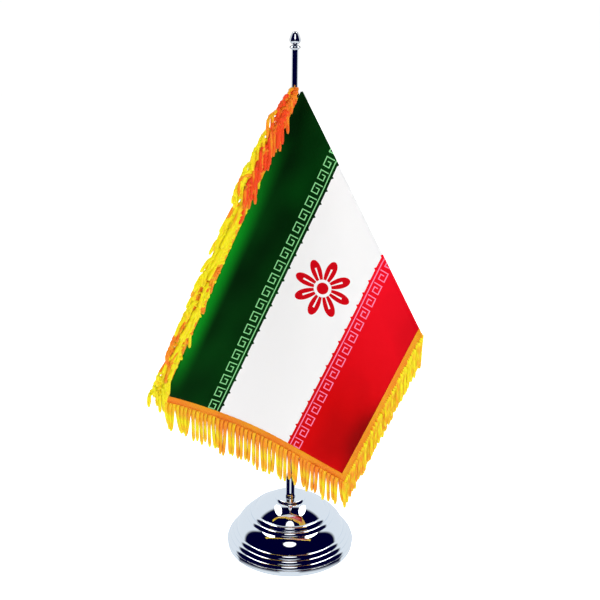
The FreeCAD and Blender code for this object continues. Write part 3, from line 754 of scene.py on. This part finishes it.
def teeth(tree, fly, away):
    """The stripe's own side of its edge, with one small point per key that sticks into the white."""
    spot = add(tree, MATH, [fly, KEY_CELL * KEY_CELLS], operation="FLOORED_MODULO").outputs[0]
    off = add(tree, MATH, [spot, KEY_CELL * 2], operation="SUBTRACT").outputs[0]
    off = add(tree, MATH, [off], operation="ABSOLUTE").outputs[0]
    depth = add(tree, MATH, [away, TOOTH_LENGTH], operation="ADD").outputs[0]
    half = add(tree, MATH, [depth, TOOTH_TAPER], operation="MULTIPLY").outputs[0]
    narrow = add(tree, MATH, [off, half], operation="LESS_THAN").outputs[0]
    past_tip = add(tree, MATH, [depth, 0.0], operation="GREATER_THAN").outputs[0]
    own_side = add(tree, MATH, [away, 0.0], operation="GREATER_THAN").outputs[0]
    return joined(tree, "MAXIMUM", [joined(tree, "MULTIPLY", [narrow, past_tip]), own_side])


print("a key is", KEY_CELL * KEY_CELLS, "mm long")

# %% The rosette
ROSETTE_RADIUS = 21.5
PETALS = 8
PETAL_FULLNESS = 0.55
PETAL_FROM = ROSETTE_RADIUS * 0.3
VEIN_TO = ROSETTE_RADIUS * 0.72
VEIN_WIDTH = 0.985
EYE_RADIUS = ROSETTE_RADIUS * 0.2


def rosette(tree, fly, drop):
    """An eight-petalled flower round the middle of the flag."""
    offsets, squares = [], []
    for value, size in ((fly, FLAG_LENGTH), (drop, FLAG_WIDTH)):
        offset = add(tree, MATH, [value, size / MM / 2], operation="SUBTRACT").outputs[0]
        offsets.append(offset)
        squares.append(add(tree, MATH, [offset, offset], operation="MULTIPLY").outputs[0])
    across, upright = offsets
    squared = add(tree, MATH, squares, operation="ADD").outputs[0]
    distance = add(tree, MATH, [squared], operation="SQRT").outputs[0]
    angle = add(tree, MATH, [upright, across], operation="ARCTAN2").outputs[0]
    wave = add(tree, MATH, [angle, PETALS / 2], operation="MULTIPLY").outputs[0]
    wave = add(tree, MATH, [wave], operation="COSINE").outputs[0]
    wave = add(tree, MATH, [wave], operation="ABSOLUTE").outputs[0]
    outline = add(tree, MATH, [wave, PETAL_FULLNESS], operation="POWER").outputs[0]
    outline = add(tree, MATH, [outline, ROSETTE_RADIUS], operation="MULTIPLY").outputs[0]
    in_petal = add(tree, MATH, [distance, outline], operation="LESS_THAN").outputs[0]
    past_eye = add(tree, MATH, [distance, PETAL_FROM], operation="GREATER_THAN").outputs[0]
    on_vein = add(tree, MATH, [wave, VEIN_WIDTH], operation="GREATER_THAN").outputs[0]
    before_tip = add(tree, MATH, [distance, VEIN_TO], operation="LESS_THAN").outputs[0]
    vein = joined(tree, "MULTIPLY", [on_vein, before_tip])
    off_vein = add(tree, MATH, [1.0, vein], operation="SUBTRACT").outputs[0]
    petal = joined(tree, "MULTIPLY", [in_petal, past_eye, off_vein])
    eye = add(tree, MATH, [distance, EYE_RADIUS], operation="LESS_THAN").outputs[0]
    return joined(tree, "MAXIMUM", [petal, eye])


print("rosette", ROSETTE_RADIUS * 2, "mm across")

# %% [markdown]
# ## Satin's colours, with painted light and shade
#
# The stripes keep their printed colours, and light and shade are painted into them too.
# The green has painted shade in soft darker patches and a band of painted light along
# the steep edge. The red has painted light, pinker near the pole, and painted shade
# that deepens it in patches towards its far low corner.
#
# A print is laid down one ink at a time, and so is this colour: white cloth, the flower,
# then each stripe with its border, and last the weave in the bump and the roughness.

# %% Printed satin
SATIN_THREAD = 0.45
WHITE = "#fafafb"
GREEN_PAINTED_SHADE, GREEN_EVEN, GREEN_PAINTED_LIGHT, GREEN_KEY = "#002405", "#003c0a", "#00901a", "#8fe096"
RED_PAINTED_LIGHT, RED_EVEN, RED_PAINTED_SHADE, RED_KEY = "#ff0a26", "#d80004", "#960002", "#ff8ab4"
ROSETTE_RED = "#d20012"
# Where each tone begins and is full, in mm along the fly or down the hoist.
OFF_STEEP_EDGE = (0.0, 14.0)
LIT_FROM_POLE = (30.0, 110.0)
LIT_FROM_CORNER = (236.0, 190.0)
RED_TURNS = (60.0, 190.0)
LOW_CORNER = (112.0, 146.0)
PATCHES = (0.36, 0.64)

printed_satin, tree, shader = new_material("printed_satin")
uv = add(tree, "ShaderNodeUVMap", uv_map="flat")
flat = add(tree, "ShaderNodeSeparateXYZ", [uv.outputs[0]])
fly = add(tree, MATH, [flat.outputs["X"], FLAG_LENGTH / MM], operation="MULTIPLY").outputs[0]
drop = add(tree, MATH, [flat.outputs["Y"], FLAG_WIDTH / MM], operation="MULTIPLY").outputs[0]
broad = add(tree, "ShaderNodeTexNoise", {"Vector": uv.outputs[0], "Scale": 4.0, "Detail": 1.0})
fades = []
for value, limits, easing in [(drop, OFF_STEEP_EDGE, "SMOOTHSTEP"), (fly, LIT_FROM_POLE, "LINEAR"),
                              (fly, LIT_FROM_CORNER, "LINEAR"), (broad.outputs[0], PATCHES, "LINEAR"),
                              (fly, RED_TURNS, "LINEAR"), (drop, LOW_CORNER, "LINEAR")]:
    inputs = {"Value": value, "From Min": limits[0], "From Max": limits[1]}
    fades.append(add(tree, "ShaderNodeMapRange", inputs, interpolation_type=easing).outputs[0])
off_edge, off_pole, off_corner, patch, past_fold, low_corner = fades
near_edge = add(tree, MATH, [1.0, off_edge], operation="SUBTRACT").outputs[0]
lit = joined(tree, "MULTIPLY", [off_pole, off_corner, near_edge])

in_green = add(tree, MATH, [FLAG_WIDTH / MM * GREEN_ENDS, drop], operation="SUBTRACT").outputs[0]
in_red = add(tree, MATH, [drop, FLAG_WIDTH / MM * WHITE_ENDS], operation="SUBTRACT").outputs[0]
# Painted shade darkens the green in soft patches, and painted light brightens a band along the steep edge.
green = over(tree, lit, over(tree, patch, GREEN_PAINTED_SHADE, GREEN_EVEN), GREEN_PAINTED_LIGHT)
green = over(tree, running_key(tree, fly, in_green), green, GREEN_KEY)
# Painted light makes the red pinker near the pole, and painted shade deepens it in patches towards the far
# low corner.
red = over(tree, past_fold, RED_PAINTED_LIGHT, RED_EVEN)
red = over(tree, joined(tree, "MULTIPLY", [past_fold, low_corner, patch]), red, RED_PAINTED_SHADE)
red = over(tree, running_key(tree, fly, in_red), red, RED_KEY)
colour = over(tree, rosette(tree, fly, drop), WHITE, ROSETTE_RED)
colour = over(tree, teeth(tree, fly, in_green), colour, green)
colour = over(tree, teeth(tree, fly, in_red), colour, red)

# Floats run along the fly. They are drawn 0.45 mm apart, coarser than the real 0.1 mm, to show.
cloud = add(tree, "ShaderNodeTexNoise", {"Vector": uv.outputs[0], "Scale": 5.0, "Detail": 2.0})
rough = add(tree, "ShaderNodeMapRange", {"Value": cloud.outputs[0], "To Min": 0.34, "To Max": 0.5})
weft = add(tree, MATH, [drop, 2 * math.pi / SATIN_THREAD], operation="MULTIPLY").outputs[0]
weft = add(tree, MATH, [weft], operation="SINE").outputs[0]
slub = add(tree, "ShaderNodeTexNoise", {"Vector": uv.outputs[0], "Scale": 90.0, "Detail": 3.0})
height = add(tree, MATH, [slub.outputs[0], 1.5, weft], operation="MULTIPLY_ADD").outputs[0]
bump = add(tree, "ShaderNodeBump", {"Height": height, "Strength": 0.25, "Distance": 0.04 * MM})
set_inputs(tree, shader, Base_Color=colour, Roughness=rough.outputs[0], IOR=1.5, Sheen_Weight=0.01,
           Sheen_Roughness=0.3, Specular_IOR_Level=0.05, Normal=bump.outputs[0])
print("satin", len(tree.nodes), "nodes")

# %% Interlining
interlining, tree, shader = new_material("bonded_interlining")
uv = add(tree, "ShaderNodeUVMap", uv_map="flat")
# Bonded fibres, felted in every direction: flat white and slightly fuzzy.
fibres = add(tree, "ShaderNodeTexNoise", {"Vector": uv.outputs[0], "Scale": 160.0, "Detail": 5.0})
bump = add(tree, "ShaderNodeBump", {"Height": fibres.outputs[0], "Strength": 0.5, "Distance": 0.08 * MM})
set_inputs(tree, shader, Base_Color=linear("#e9e8e2"), Roughness=0.9, Sheen_Weight=0.2,
           Normal=bump.outputs[0])
print("interlining", len(tree.nodes), "nodes")

# %% [markdown]
# ## Cutting and hanging the cloth
#
# The flag is two printed layers with a bonded interlining between them, so three sheets
# are cut. Each starts as a flat grid whose rows run out from the hoist's top corner.
# The grid's lines then follow the fold and meet the corner of the flag exactly, and no
# face has to bend. Solidify gives each layer its thickness.

# %% Cloth sheets
CLOTH = 0.2 * MM
LAYER_GAP = 0.02 * MM
CORNER_TRIM = 1.2 * MM
FOLD_HALF = math.radians(3.0)


def edge_distance(angle):
    """How far the flag's edge is from the corner, at an angle from the hoist."""
    if angle < CORNER_ANGLE:
        return FLAG_WIDTH / math.cos(angle)
    return FLAG_LENGTH / math.sin(angle)


def cloth_angles():
    """Even angles with extra ones through the fold, and one exactly at the flag's corner."""
    spans = [(0, FOLD_ANGLE - FOLD_HALF, 44), (FOLD_ANGLE - FOLD_HALF, FOLD_ANGLE + FOLD_HALF, 30),
             (FOLD_ANGLE + FOLD_HALF, CORNER_ANGLE, 36), (CORNER_ANGLE, TOP_ANGLE, 60)]
    found = [start + (end - start) * i / count for start, end, count in spans for i in range(count)]
    return found + [TOP_ANGLE]


def give_thickness(piece, thickness):
    """Gives a sheet its thickness, half to each side."""
    solid = piece.modifiers.new("thickness", "SOLIDIFY")
    solid.thickness = thickness
    solid.offset = 0


def cloth_sheet(name, material, offset, slot, node, rows=110):
    """One layer, cut from a grid of angles and distances and hung with its offset in metres."""
    angles = cloth_angles()
    shape = bmesh.new()
    bmesh.ops.create_grid(shape, x_segments=len(angles) - 1, y_segments=rows, size=1)
    flat = shape.loops.layers.uv.new("flat")
    places = {}
    for point in shape.verts:
        angle = angles[round((point.co.x + 1) / 2 * (len(angles) - 1))]
        distance = CORNER_TRIM + (edge_distance(angle) - CORNER_TRIM) * (point.co.y + 1) / 2
        places[point.index] = (distance * math.sin(angle), distance * math.cos(angle))
    for face in shape.faces:
        for loop in face.loops:
            along, down = places[loop.vert.index]
            loop[flat].uv = (along / FLAG_LENGTH, down / FLAG_WIDTH)
    for point in shape.verts:
        place, fly, drop, normal = frame_at(*places[point.index])
        point.co = place + normal * offset
    bmesh.ops.recalc_face_normals(shape, faces=shape.faces)
    sheet = finish_piece(name, shape, material, "flag", slot, node, sharp=180)
    give_thickness(sheet, CLOTH)
    return sheet


layer = CLOTH + LAYER_GAP
face = cloth_sheet("satin_face", printed_satin, layer, "printed_satin", "flag_face")
middle = cloth_sheet("bonded_middle", interlining, 0.0, "interlining", "flag_interlining", rows=60)
lining = cloth_sheet("satin_lining", printed_satin, -layer, "lining_satin", "flag_lining")

# %% [markdown]
# ## Sleeve
#
# The sleeve is a tube of the same satin sewn along the hoist. It shows from behind. It
# is a little fuller than the pole, so it wrinkles across, and a seam joins it to the
# flag. A turned outline would be too perfect, so the tube's points are pushed in and
# out by a few waves before its seam tab is drawn out towards the cloth. Its mouth at
# the top is gathered in until it nearly touches the pole.

# %% Sleeve
SLEEVE_RINGS = 120
SLEEVE_SIDES = 48
SLEEVE_WALL = 0.35 * MM
SLEEVE_FULLNESS = 0.28 * MM
SLEEVE_WAVE = 9 * MM
SLEEVE_MOUTH = 2.45 * MM
GATHERED_OVER = 9 * MM
WAVES_COME_AND_GO = 160
TAB_HALF = math.radians(16)
TAB_INTO_CLOTH = 0.4 * MM
SLEEVE_PRINT = 0.03


def smooth(value, low, high):
    """0 below low, 1 above high, and an even curve between."""
    share = min(max((value - low) / (high - low), 0), 1)
    return share * share * (3 - 2 * share)


sleeve_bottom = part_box("pole_sleeve")[0].z
seam = hang(0, FLAG_WIDTH / 2)
seam_azimuth = math.atan2(seam.y, seam.x)
seam_distance = math.hypot(seam.x, seam.y) - TAB_INTO_CLOTH
shape = bmesh.new()
bmesh.ops.create_grid(shape, x_segments=SLEEVE_SIDES, y_segments=SLEEVE_RINGS, size=1)
flat = shape.loops.layers.uv.new("flat")
for loop in [loop for one in shape.faces for loop in one.loops]:
    up = (loop.vert.co.y + 1) / 2
    loop[flat].uv = ((loop.vert.co.x + 1) / 2 * SLEEVE_PRINT, 1 - up)
for point in shape.verts:
    round_pole = math.pi * point.co.x
    height = sleeve_bottom + (FLAG_TOP - sleeve_bottom) * (point.co.y + 1) / 2
    wave = math.sin(2 * math.pi * height / SLEEVE_WAVE + 2 * math.sin(round_pole))
    wave *= math.sin(height * WAVES_COME_AND_GO)
    slack = SLEEVE_FULLNESS * (wave - 0.2) * abs(math.sin(round_pole / 2))
    radius = SLEEVE_RADIUS - SLEEVE_WALL / 2 + slack
    gathered = smooth(FLAG_TOP - height, 0, GATHERED_OVER)
    radius = SLEEVE_MOUTH + (radius - SLEEVE_MOUTH) * gathered
    to_seam = math.pi - abs(round_pole)
    if to_seam < TAB_HALF:
        radius += (seam_distance - radius) * gathered * (1 - to_seam / TAB_HALF) ** 0.8
    azimuth = seam_azimuth + math.pi + round_pole
    point.co = (radius * math.cos(azimuth), radius * math.sin(azimuth), height)
bmesh.ops.remove_doubles(shape, verts=shape.verts, dist=0.01 * MM)
bmesh.ops.recalc_face_normals(shape, faces=shape.faces)
sleeve = finish_piece("satin_sleeve", shape, printed_satin, "flag", "lining_satin", "pole_sleeve",
                      sharp=180)
give_thickness(sleeve, SLEEVE_WALL)

# %% [markdown]
# ## Fringe header
#
# The fringe is sold by the metre: its threads hang from a flat woven tape, the header,
# which is sewn to the flag's edge. The tape carries on the cloth's own surface past its
# edge, so the same hanging function places it. Its section is a flattened round.

# %% Rayon
PLY_CONTRAST = 0.12
YELLOW_UP_TO, ORANGE_AT = 0.15, 0.55


def make_rayon(name, yellow, orange, deep, twist, rib):
    """Viscose rayon yarn: bright, silky and slightly see-through. Two tones are twisted
    together, and a per-vertex tint moves the mix from yellow to deep orange."""
    material, tree, shader = new_material(name)
    uv = add(tree, "ShaderNodeUVMap", uv_map="flat")
    across, lengthwise, _ = add(tree, "ShaderNodeSeparateXYZ", [uv.outputs[0]]).outputs
    tint = add(tree, "ShaderNodeAttribute", attribute_name="tint").outputs["Fac"]
    ply = add(tree, MATH, [lengthwise, twist, across], operation="MULTIPLY_ADD").outputs[0]
    turns = add(tree, MATH, [ply, 2 * math.pi], operation="MULTIPLY").outputs[0]
    turns = add(tree, MATH, [turns], operation="SINE").outputs[0]
    tone = add(tree, MATH, [turns, PLY_CONTRAST, tint], operation="MULTIPLY_ADD").outputs[0]
    ramp = add(tree, "ShaderNodeValToRGB", {"Fac": tone})
    ramp.color_ramp.elements[0].color = linear(yellow)
    ramp.color_ramp.elements[0].position = YELLOW_UP_TO
    ramp.color_ramp.elements[1].color = linear(deep)
    ramp.color_ramp.elements.new(ORANGE_AT).color = linear(orange)
    fine = add(tree, MATH, [ply, 2 * math.pi * rib], operation="MULTIPLY").outputs[0]
    fine = add(tree, MATH, [fine], operation="SINE").outputs[0]
    bump = add(tree, "ShaderNodeBump", {"Height": fine, "Strength": 0.5, "Distance": 0.12 * MM})
    set_inputs(tree, shader, Base_Color=ramp.outputs[0], Roughness=0.42, IOR=1.54, Sheen_Weight=0.1,
               Subsurface_Weight=0.1, Subsurface_Radius=(1.0, 0.5, 0.1), Subsurface_Scale=0.4 * MM,
               Specular_IOR_Level=0.3, Normal=bump.outputs[0])
    print(name, len(tree.nodes), "nodes")
    return material


header_rayon = make_rayon("rayon_tape", "#fbb408", "#fb8c0c", "#f4600a", 0.0, 1.0)
thread_rayon = make_rayon("rayon_bullion", "#fff000", "#ffa20e", "#ff4a06", 90.0, 3.0)

# %% Header
HEADER_WIDTH = 6.2 * MM
HEADER_THICK = 1.2 * MM
HEADER_GAP = -0.4 * MM
HEADER_RIB = 1.3 * MM
HEADER_SIDES = 14
RIB_HEIGHT = 0.1
FLATTENED = 0.6
TOP_TAPE_START = 6 * MM


def header(name, start, finish, outward, node, tint, steps):
    """A tape from one flat point to another, growing outward from the flag's edge."""
    start, finish, outward = Vector(start), Vector(finish), Vector(outward)
    shape = bmesh.new()
    bmesh.ops.create_grid(shape, x_segments=steps, y_segments=HEADER_SIDES, size=1)
    flat = shape.loops.layers.uv.new("flat")
    tints = shape.verts.layers.float.new("tint")
    length = (finish - start).length
    for loop in [loop for one in shape.faces for loop in one.loops]:
        loop[flat].uv = (loop.vert.co.x * length / HEADER_RIB / 2, loop.vert.co.y)
    for point in shape.verts:
        share, turn = (point.co.x + 1) / 2, math.pi * point.co.y
        wide = math.copysign(abs(math.cos(turn)) ** FLATTENED, math.cos(turn))
        out = HEADER_GAP + HEADER_WIDTH * (1 + wide) / 2
        along, down = start.lerp(finish, share) + outward * out
        place, fly, drop, normal = frame_at(along, down)
        rib = 1 + RIB_HEIGHT * math.sin(2 * math.pi * share * length / HEADER_RIB)
        point.co = place + normal * (HEADER_THICK / 2 * math.sin(turn) * rib)
        point[tints] = tint + 0.1 * math.sin(share * 23) + 0.12 * wide
    bmesh.ops.remove_doubles(shape, verts=shape.verts, dist=0.02 * MM)
    bmesh.ops.holes_fill(shape, edges=shape.edges, sides=0)
    bmesh.ops.recalc_face_normals(shape, faces=shape.faces)
    return finish_piece(name, shape, header_rayon, "flag", "header_braid", node, sharp=60)


corner_out = HEADER_WIDTH + HEADER_GAP
header("fringe_tape_top", (TOP_TAPE_START, 0), (FLAG_LENGTH + corner_out, 0), (0, -1), "header_top", 0.4,
       240)
header("fringe_tape_fly", (FLAG_LENGTH, 0), (FLAG_LENGTH, FLAG_WIDTH + corner_out), (1, 0), "header_fly",
       0.5, 150)
header("fringe_tape_bottom", (0, FLAG_WIDTH), (FLAG_LENGTH, FLAG_WIDTH), (0, 1), "header_bottom", 0.42,
       300)

# %% [markdown]
# ## Bullion threads
#
# The fringe's threads are soft twisted cords, 2.4 to 2.8 mm thick and a little thicker
# where they leave the tape. One cord is modelled once, straight and with few faces.
# Every thread is a copy of it whose rings are moved onto that thread's own line: out of
# the tape, over in a short bend, and then down under its weight. Threads cling to their
# neighbours, so their ends are drawn together in small groups. A seeded generator keeps
# every run the same.

# %% One straight cord
THREAD_RADIUS = 1.2 * MM
THREAD_LENGTH = 21 * MM
THREAD_ROWS = 9
THREAD_SIDES = 6
SEED = 7

straight = bmesh.new()
bmesh.ops.create_grid(straight, x_segments=THREAD_SIDES, y_segments=THREAD_ROWS, size=1)
flat = straight.loops.layers.uv.new("flat")
for loop in [loop for one in straight.faces for loop in one.loops]:
    loop[flat].uv = ((loop.vert.co.x + 1) / 2, (loop.vert.co.y + 1) / 2 * THREAD_LENGTH)
for point in straight.verts:
    turn = math.pi * point.co.x
    point.co = (math.cos(turn), math.sin(turn), (point.co.y + 1) / 2)
bmesh.ops.remove_doubles(straight, verts=straight.verts, dist=1e-5)
bmesh.ops.holes_fill(straight, edges=straight.edges, sides=0)
bmesh.ops.recalc_face_normals(straight, faces=straight.faces)
one_thread = to_mesh("one_thread", straight)
print("one thread has", len(one_thread.polygons), "faces")

# %% Laying a thread along a line
AT_ROOT, SWELL, CUT_END = 1.25, 0.3, 0.6
SWELL_ENDS = 0.4


def thread_line(root, outward, final, length, bend, curl):
    """Points of a thread that leaves along outward and turns to its final direction.

    bend is the length over which it turns, and curl a sideways push that grows towards its end.
    """
    step = length / THREAD_ROWS
    points = [root]
    for i in range(THREAD_ROWS):
        turned_down = smooth((i + 0.5) * step, 0, bend)
        heading = outward * (1 - turned_down) + final * turned_down
        heading += curl * ((i + 0.5) / THREAD_ROWS)
        points.append(points[-1] + heading.normalized() * step)
    return points


def lay_thread(shape, tints, line, tint, radius):
    """Adds one thread to the fringe. tint gives the tint at a share of its length."""
    first = len(shape.verts)
    shape.from_mesh(one_thread)
    shape.verts.ensure_lookup_table()
    rows = len(line) - 1
    for point in shape.verts[first:]:
        share = point.co.z
        row = round(share * rows)
        ahead = (line[min(row + 1, rows)] - line[max(row - 1, 0)]).normalized()
        side = ahead.cross(UP if abs(ahead.z) < 0.9 else Vector((0, 1, 0))).normalized()
        thick = radius * (AT_ROOT - SWELL * smooth(share, 0, SWELL_ENDS)) * (1 if row < rows else CUT_END)
        around = side * point.co.x + ahead.cross(side) * point.co.y
        point.co = line[row] + around * thick
        point[tints] = tint(share)


def grouped(count, draw, largest=4):
    """How far each thread's end is pulled towards the middle of its group, in thread spacings."""
    pulls = []
    while len(pulls) < count:
        size = draw.randint(1, largest)
        strength = draw.uniform(0.1, 0.75)
        pulls += [((size - 1) / 2 - i) * strength for i in range(size)]
    return pulls[:count]


def fringe(name, node, lines, radius=THREAD_RADIUS):
    """One row of threads as one piece. lines are (points, tint) pairs."""
    shape = bmesh.new()
    shape.loops.layers.uv.new("flat")
    tints = shape.verts.layers.float.new("tint")
    for line, tint in lines:
        lay_thread(shape, tints, line, tint, radius)
    return finish_piece(name, shape, thread_rayon, "flag", "fringe_rayon", node, sharp=80)


# %% [markdown]
# ## The two hanging rows
#
# Along the fly and the bottom the threads hang straight down from the tape. Their
# lengths differ a little, because the cut ends untwist, and those in the middle of the
# fly are longer.

# %% Fly and bottom threads
FLY_SPACING = 3.3 * MM
FLY_THREAD_RADIUS = 1.42 * MM
BOTTOM_SPACING = 1.9 * MM
FLY_BEND = 4 * MM
BOTTOM_BEND = 1.2 * MM
LONGER_IN_THE_MIDDLE = 8 * MM
ROOT_IN_TAPE = 1.4 * MM
ROW_DEPTH = 0.7 * MM
SWAY_ALONG, SWAY_ACROSS = 0.06, 0.05


def hung_row(start, finish, outward, spacing, bend, seed, tint_of, length_of):
    """Threads along a run of the flag's edge, hanging down."""
    draw = random.Random(seed)
    start, finish, outward = Vector(start), Vector(finish), Vector(outward)
    ahead = (finish - start).normalized()
    count = int((finish - start).length / spacing)
    pulls = grouped(count, draw)
    found = []
    for i in range(count):
        share = (i + 0.5) / count
        along, down = start.lerp(finish, share) + outward * (corner_out - ROOT_IN_TAPE)
        place, fly, drop, normal = frame_at(along, down)
        out = fly * outward.x + drop * outward.y
        run = fly * ahead.x + drop * ahead.y
        level = Vector((run.x, run.y, 0))
        depth = draw.uniform(-ROW_DEPTH, ROW_DEPTH)
        sway = Vector((draw.uniform(-SWAY_ALONG, SWAY_ALONG), draw.uniform(-SWAY_ACROSS, SWAY_ACROSS), 0))
        curl = level * (pulls[i] * spacing / THREAD_LENGTH * 2) + sway
        length = length_of(share) * draw.uniform(0.88, 1.06)
        line = thread_line(place + normal * depth, out, DOWN, length, bend, curl)
        found.append((line, tint_of(share, draw)))
    return found


def fly_tint(share, draw):
    """Yellow to orange, with the tint of each thread drawn at random, and painted shade that deepens it at
    the root by the tape.
    """
    base = draw.uniform(0.12, 0.42) + 0.1 * share
    return lambda t: base + 0.1 * (1 - t) + 0.2 * (1 - smooth(t, 0, 0.3))


def bottom_tint(share, draw):
    """Yellow, with more orange towards the fly."""
    front = smooth(share, 0.45, 1.0)
    base = draw.uniform(0.06, 0.3) + draw.uniform(0.05, 0.25) * front
    return lambda t: base + 0.1 * math.sin(3 * t)


def fly_length(share):
    """Longest in the middle of the row."""
    return THREAD_LENGTH + LONGER_IN_THE_MIDDLE * math.sin(math.pi * share)


def bottom_length(share):
    """The same all along."""
    return THREAD_LENGTH


ROW_START = 2 * MM
round_corner = corner_out + 0.6 * MM
fly_row = hung_row((FLAG_LENGTH, ROW_START), (FLAG_LENGTH, FLAG_WIDTH + round_corner), (1, 0), FLY_SPACING,
                   FLY_BEND, SEED, fly_tint, fly_length)
fringe("fringe_fly", "threads_fly", fly_row, FLY_THREAD_RADIUS)
bottom_row = hung_row((ROW_START, FLAG_WIDTH), (FLAG_LENGTH + round_corner, FLAG_WIDTH), (0, 1),
                      BOTTOM_SPACING, BOTTOM_BEND, SEED + 1, bottom_tint, bottom_length)
fringe("fringe_bottom", "threads_bottom", bottom_row)

# %% [markdown]
# ## The row along the steep edge
#
# Here the edge runs nearly as steeply as the threads fall, so they cannot hang clear.
# They lie in two layers: every other thread lies over the tape, and the rest stand out
# past it. Near the pole the front ones tip over and lie in front of the cloth. Further
# down they are stroked flat along the tape, then mussed into thick twists, and by the
# flag's corner they hang straight again.

# %% Top threads
TOP_SPACING = 1.2 * MM
TOP_START = 0.4 * MM
OVER_TAPE = 1.6 * MM
ORANGE_SHARE = 0.35
# How far painted shade can push a thread's tint towards deep orange.
DEEPEST_SHADE = 0.7
TOP_THREAD_RADIUS = 1.35 * MM
# Shares of the edge, from the pole to the flag's corner, over which the threads' lie changes.
STOPS_HANGING = (0.27, 0.40)
GETS_MUSSED = (0.50, 0.60)
NEARS_CORNER = (0.86, 0.95)
# Shares over which the painted shade on the front and the back threads near the pole fades out.
FRONT_SHADE_FADES = (0.33, 0.41)
BACK_SHADE_FADES = (0.04, 0.22)
NEAREST_EDGE, FURTHEST_IN, HANGS_NEARER = 1.2 * MM, 4.8 * MM, 2.2 * MM
BACK_INSET = 0.8 * MM
LONGER_NEAR_POLE = 0.3
TWISTS, TWIST_PUSH = 95, 0.3
STREAK = 0.5


def top_thread(share, front, pull, draw):
    """One thread of the steep edge. Front threads lie over the tape, the others stand out past it."""
    along = TOP_START + (FLAG_LENGTH - TOP_START) * share
    hanging = 1 - smooth(share, *STOPS_HANGING)
    inset = draw.uniform(NEAREST_EDGE, FURTHEST_IN - HANGS_NEARER * hanging) if front else BACK_INSET
    place, fly, drop, normal = frame_at(along, inset - corner_out)
    out = -drop
    mussed = smooth(share, *GETS_MUSSED)
    lean = drop * draw.uniform(-0.12, 0.04)
    stroked = fly + out * draw.uniform(-0.02, 0.08) - DOWN * 0.08
    tangled = fly * 0.6 + DOWN * draw.uniform(0.3, 0.6) + out * draw.uniform(-0.15, 0.3)
    final = (DOWN + lean) * hanging + (stroked * (1 - mussed) + tangled * mussed) * (1 - hanging)
    at_corner = smooth(share, *NEARS_CORNER)
    final = final * (1 - at_corner) + DOWN * at_corner
    final -= normal * min(final.dot(normal), 0)
    curl = fly * pull * TOP_SPACING / THREAD_LENGTH * 1.5
    curl += normal * draw.uniform(-0.05, 0.08)
    curl += out * mussed * (1 - at_corner) * math.sin(share * TWISTS) * TWIST_PUSH
    if front:
        bend = draw.uniform(2 + 4 * hanging, 8 + 6 * hanging) * MM
        rise = OVER_TAPE * draw.uniform(0.8, 1.3)
    else:
        bend = draw.uniform(5, 15 + 10 * hanging) * MM
        rise = draw.uniform(-0.8, 0.8) * MM
    bend *= 0.35 + 0.65 * smooth(share, 0, 0.1)
    length = THREAD_LENGTH * draw.uniform(0.8, 1.0) * (1 + LONGER_NEAR_POLE * hanging)
    length *= 0.5 + 0.5 * smooth(share, 0, 0.08)
    line = thread_line(place + normal * rise, out, final.normalized(), length, bend, curl)
    # Threads near the pole get painted shade: their tint is pushed towards deep orange, the front ones
    # more than the back ones.
    red = 1 - smooth(share, *FRONT_SHADE_FADES) if front else 0.8 - 0.7 * smooth(share, *BACK_SHADE_FADES)
    streak = STREAK if draw.random() < ORANGE_SHARE * (hanging + mussed * (1 - at_corner)) else 0
    base = draw.uniform(0.02, 0.14) + streak
    return line, lambda t: base + DEEPEST_SHADE * red * smooth(t, -0.5, 0.3)


draw = random.Random(SEED + 2)
top_count = int((FLAG_LENGTH - TOP_START) / TOP_SPACING)
pulls = grouped(top_count, draw, largest=5)
top_lines = [top_thread((i + 0.5) / top_count, i % 2 == 0, pulls[i], draw) for i in range(top_count)]
fringe("fringe_top", "threads_top", top_lines, TOP_THREAD_RADIUS)
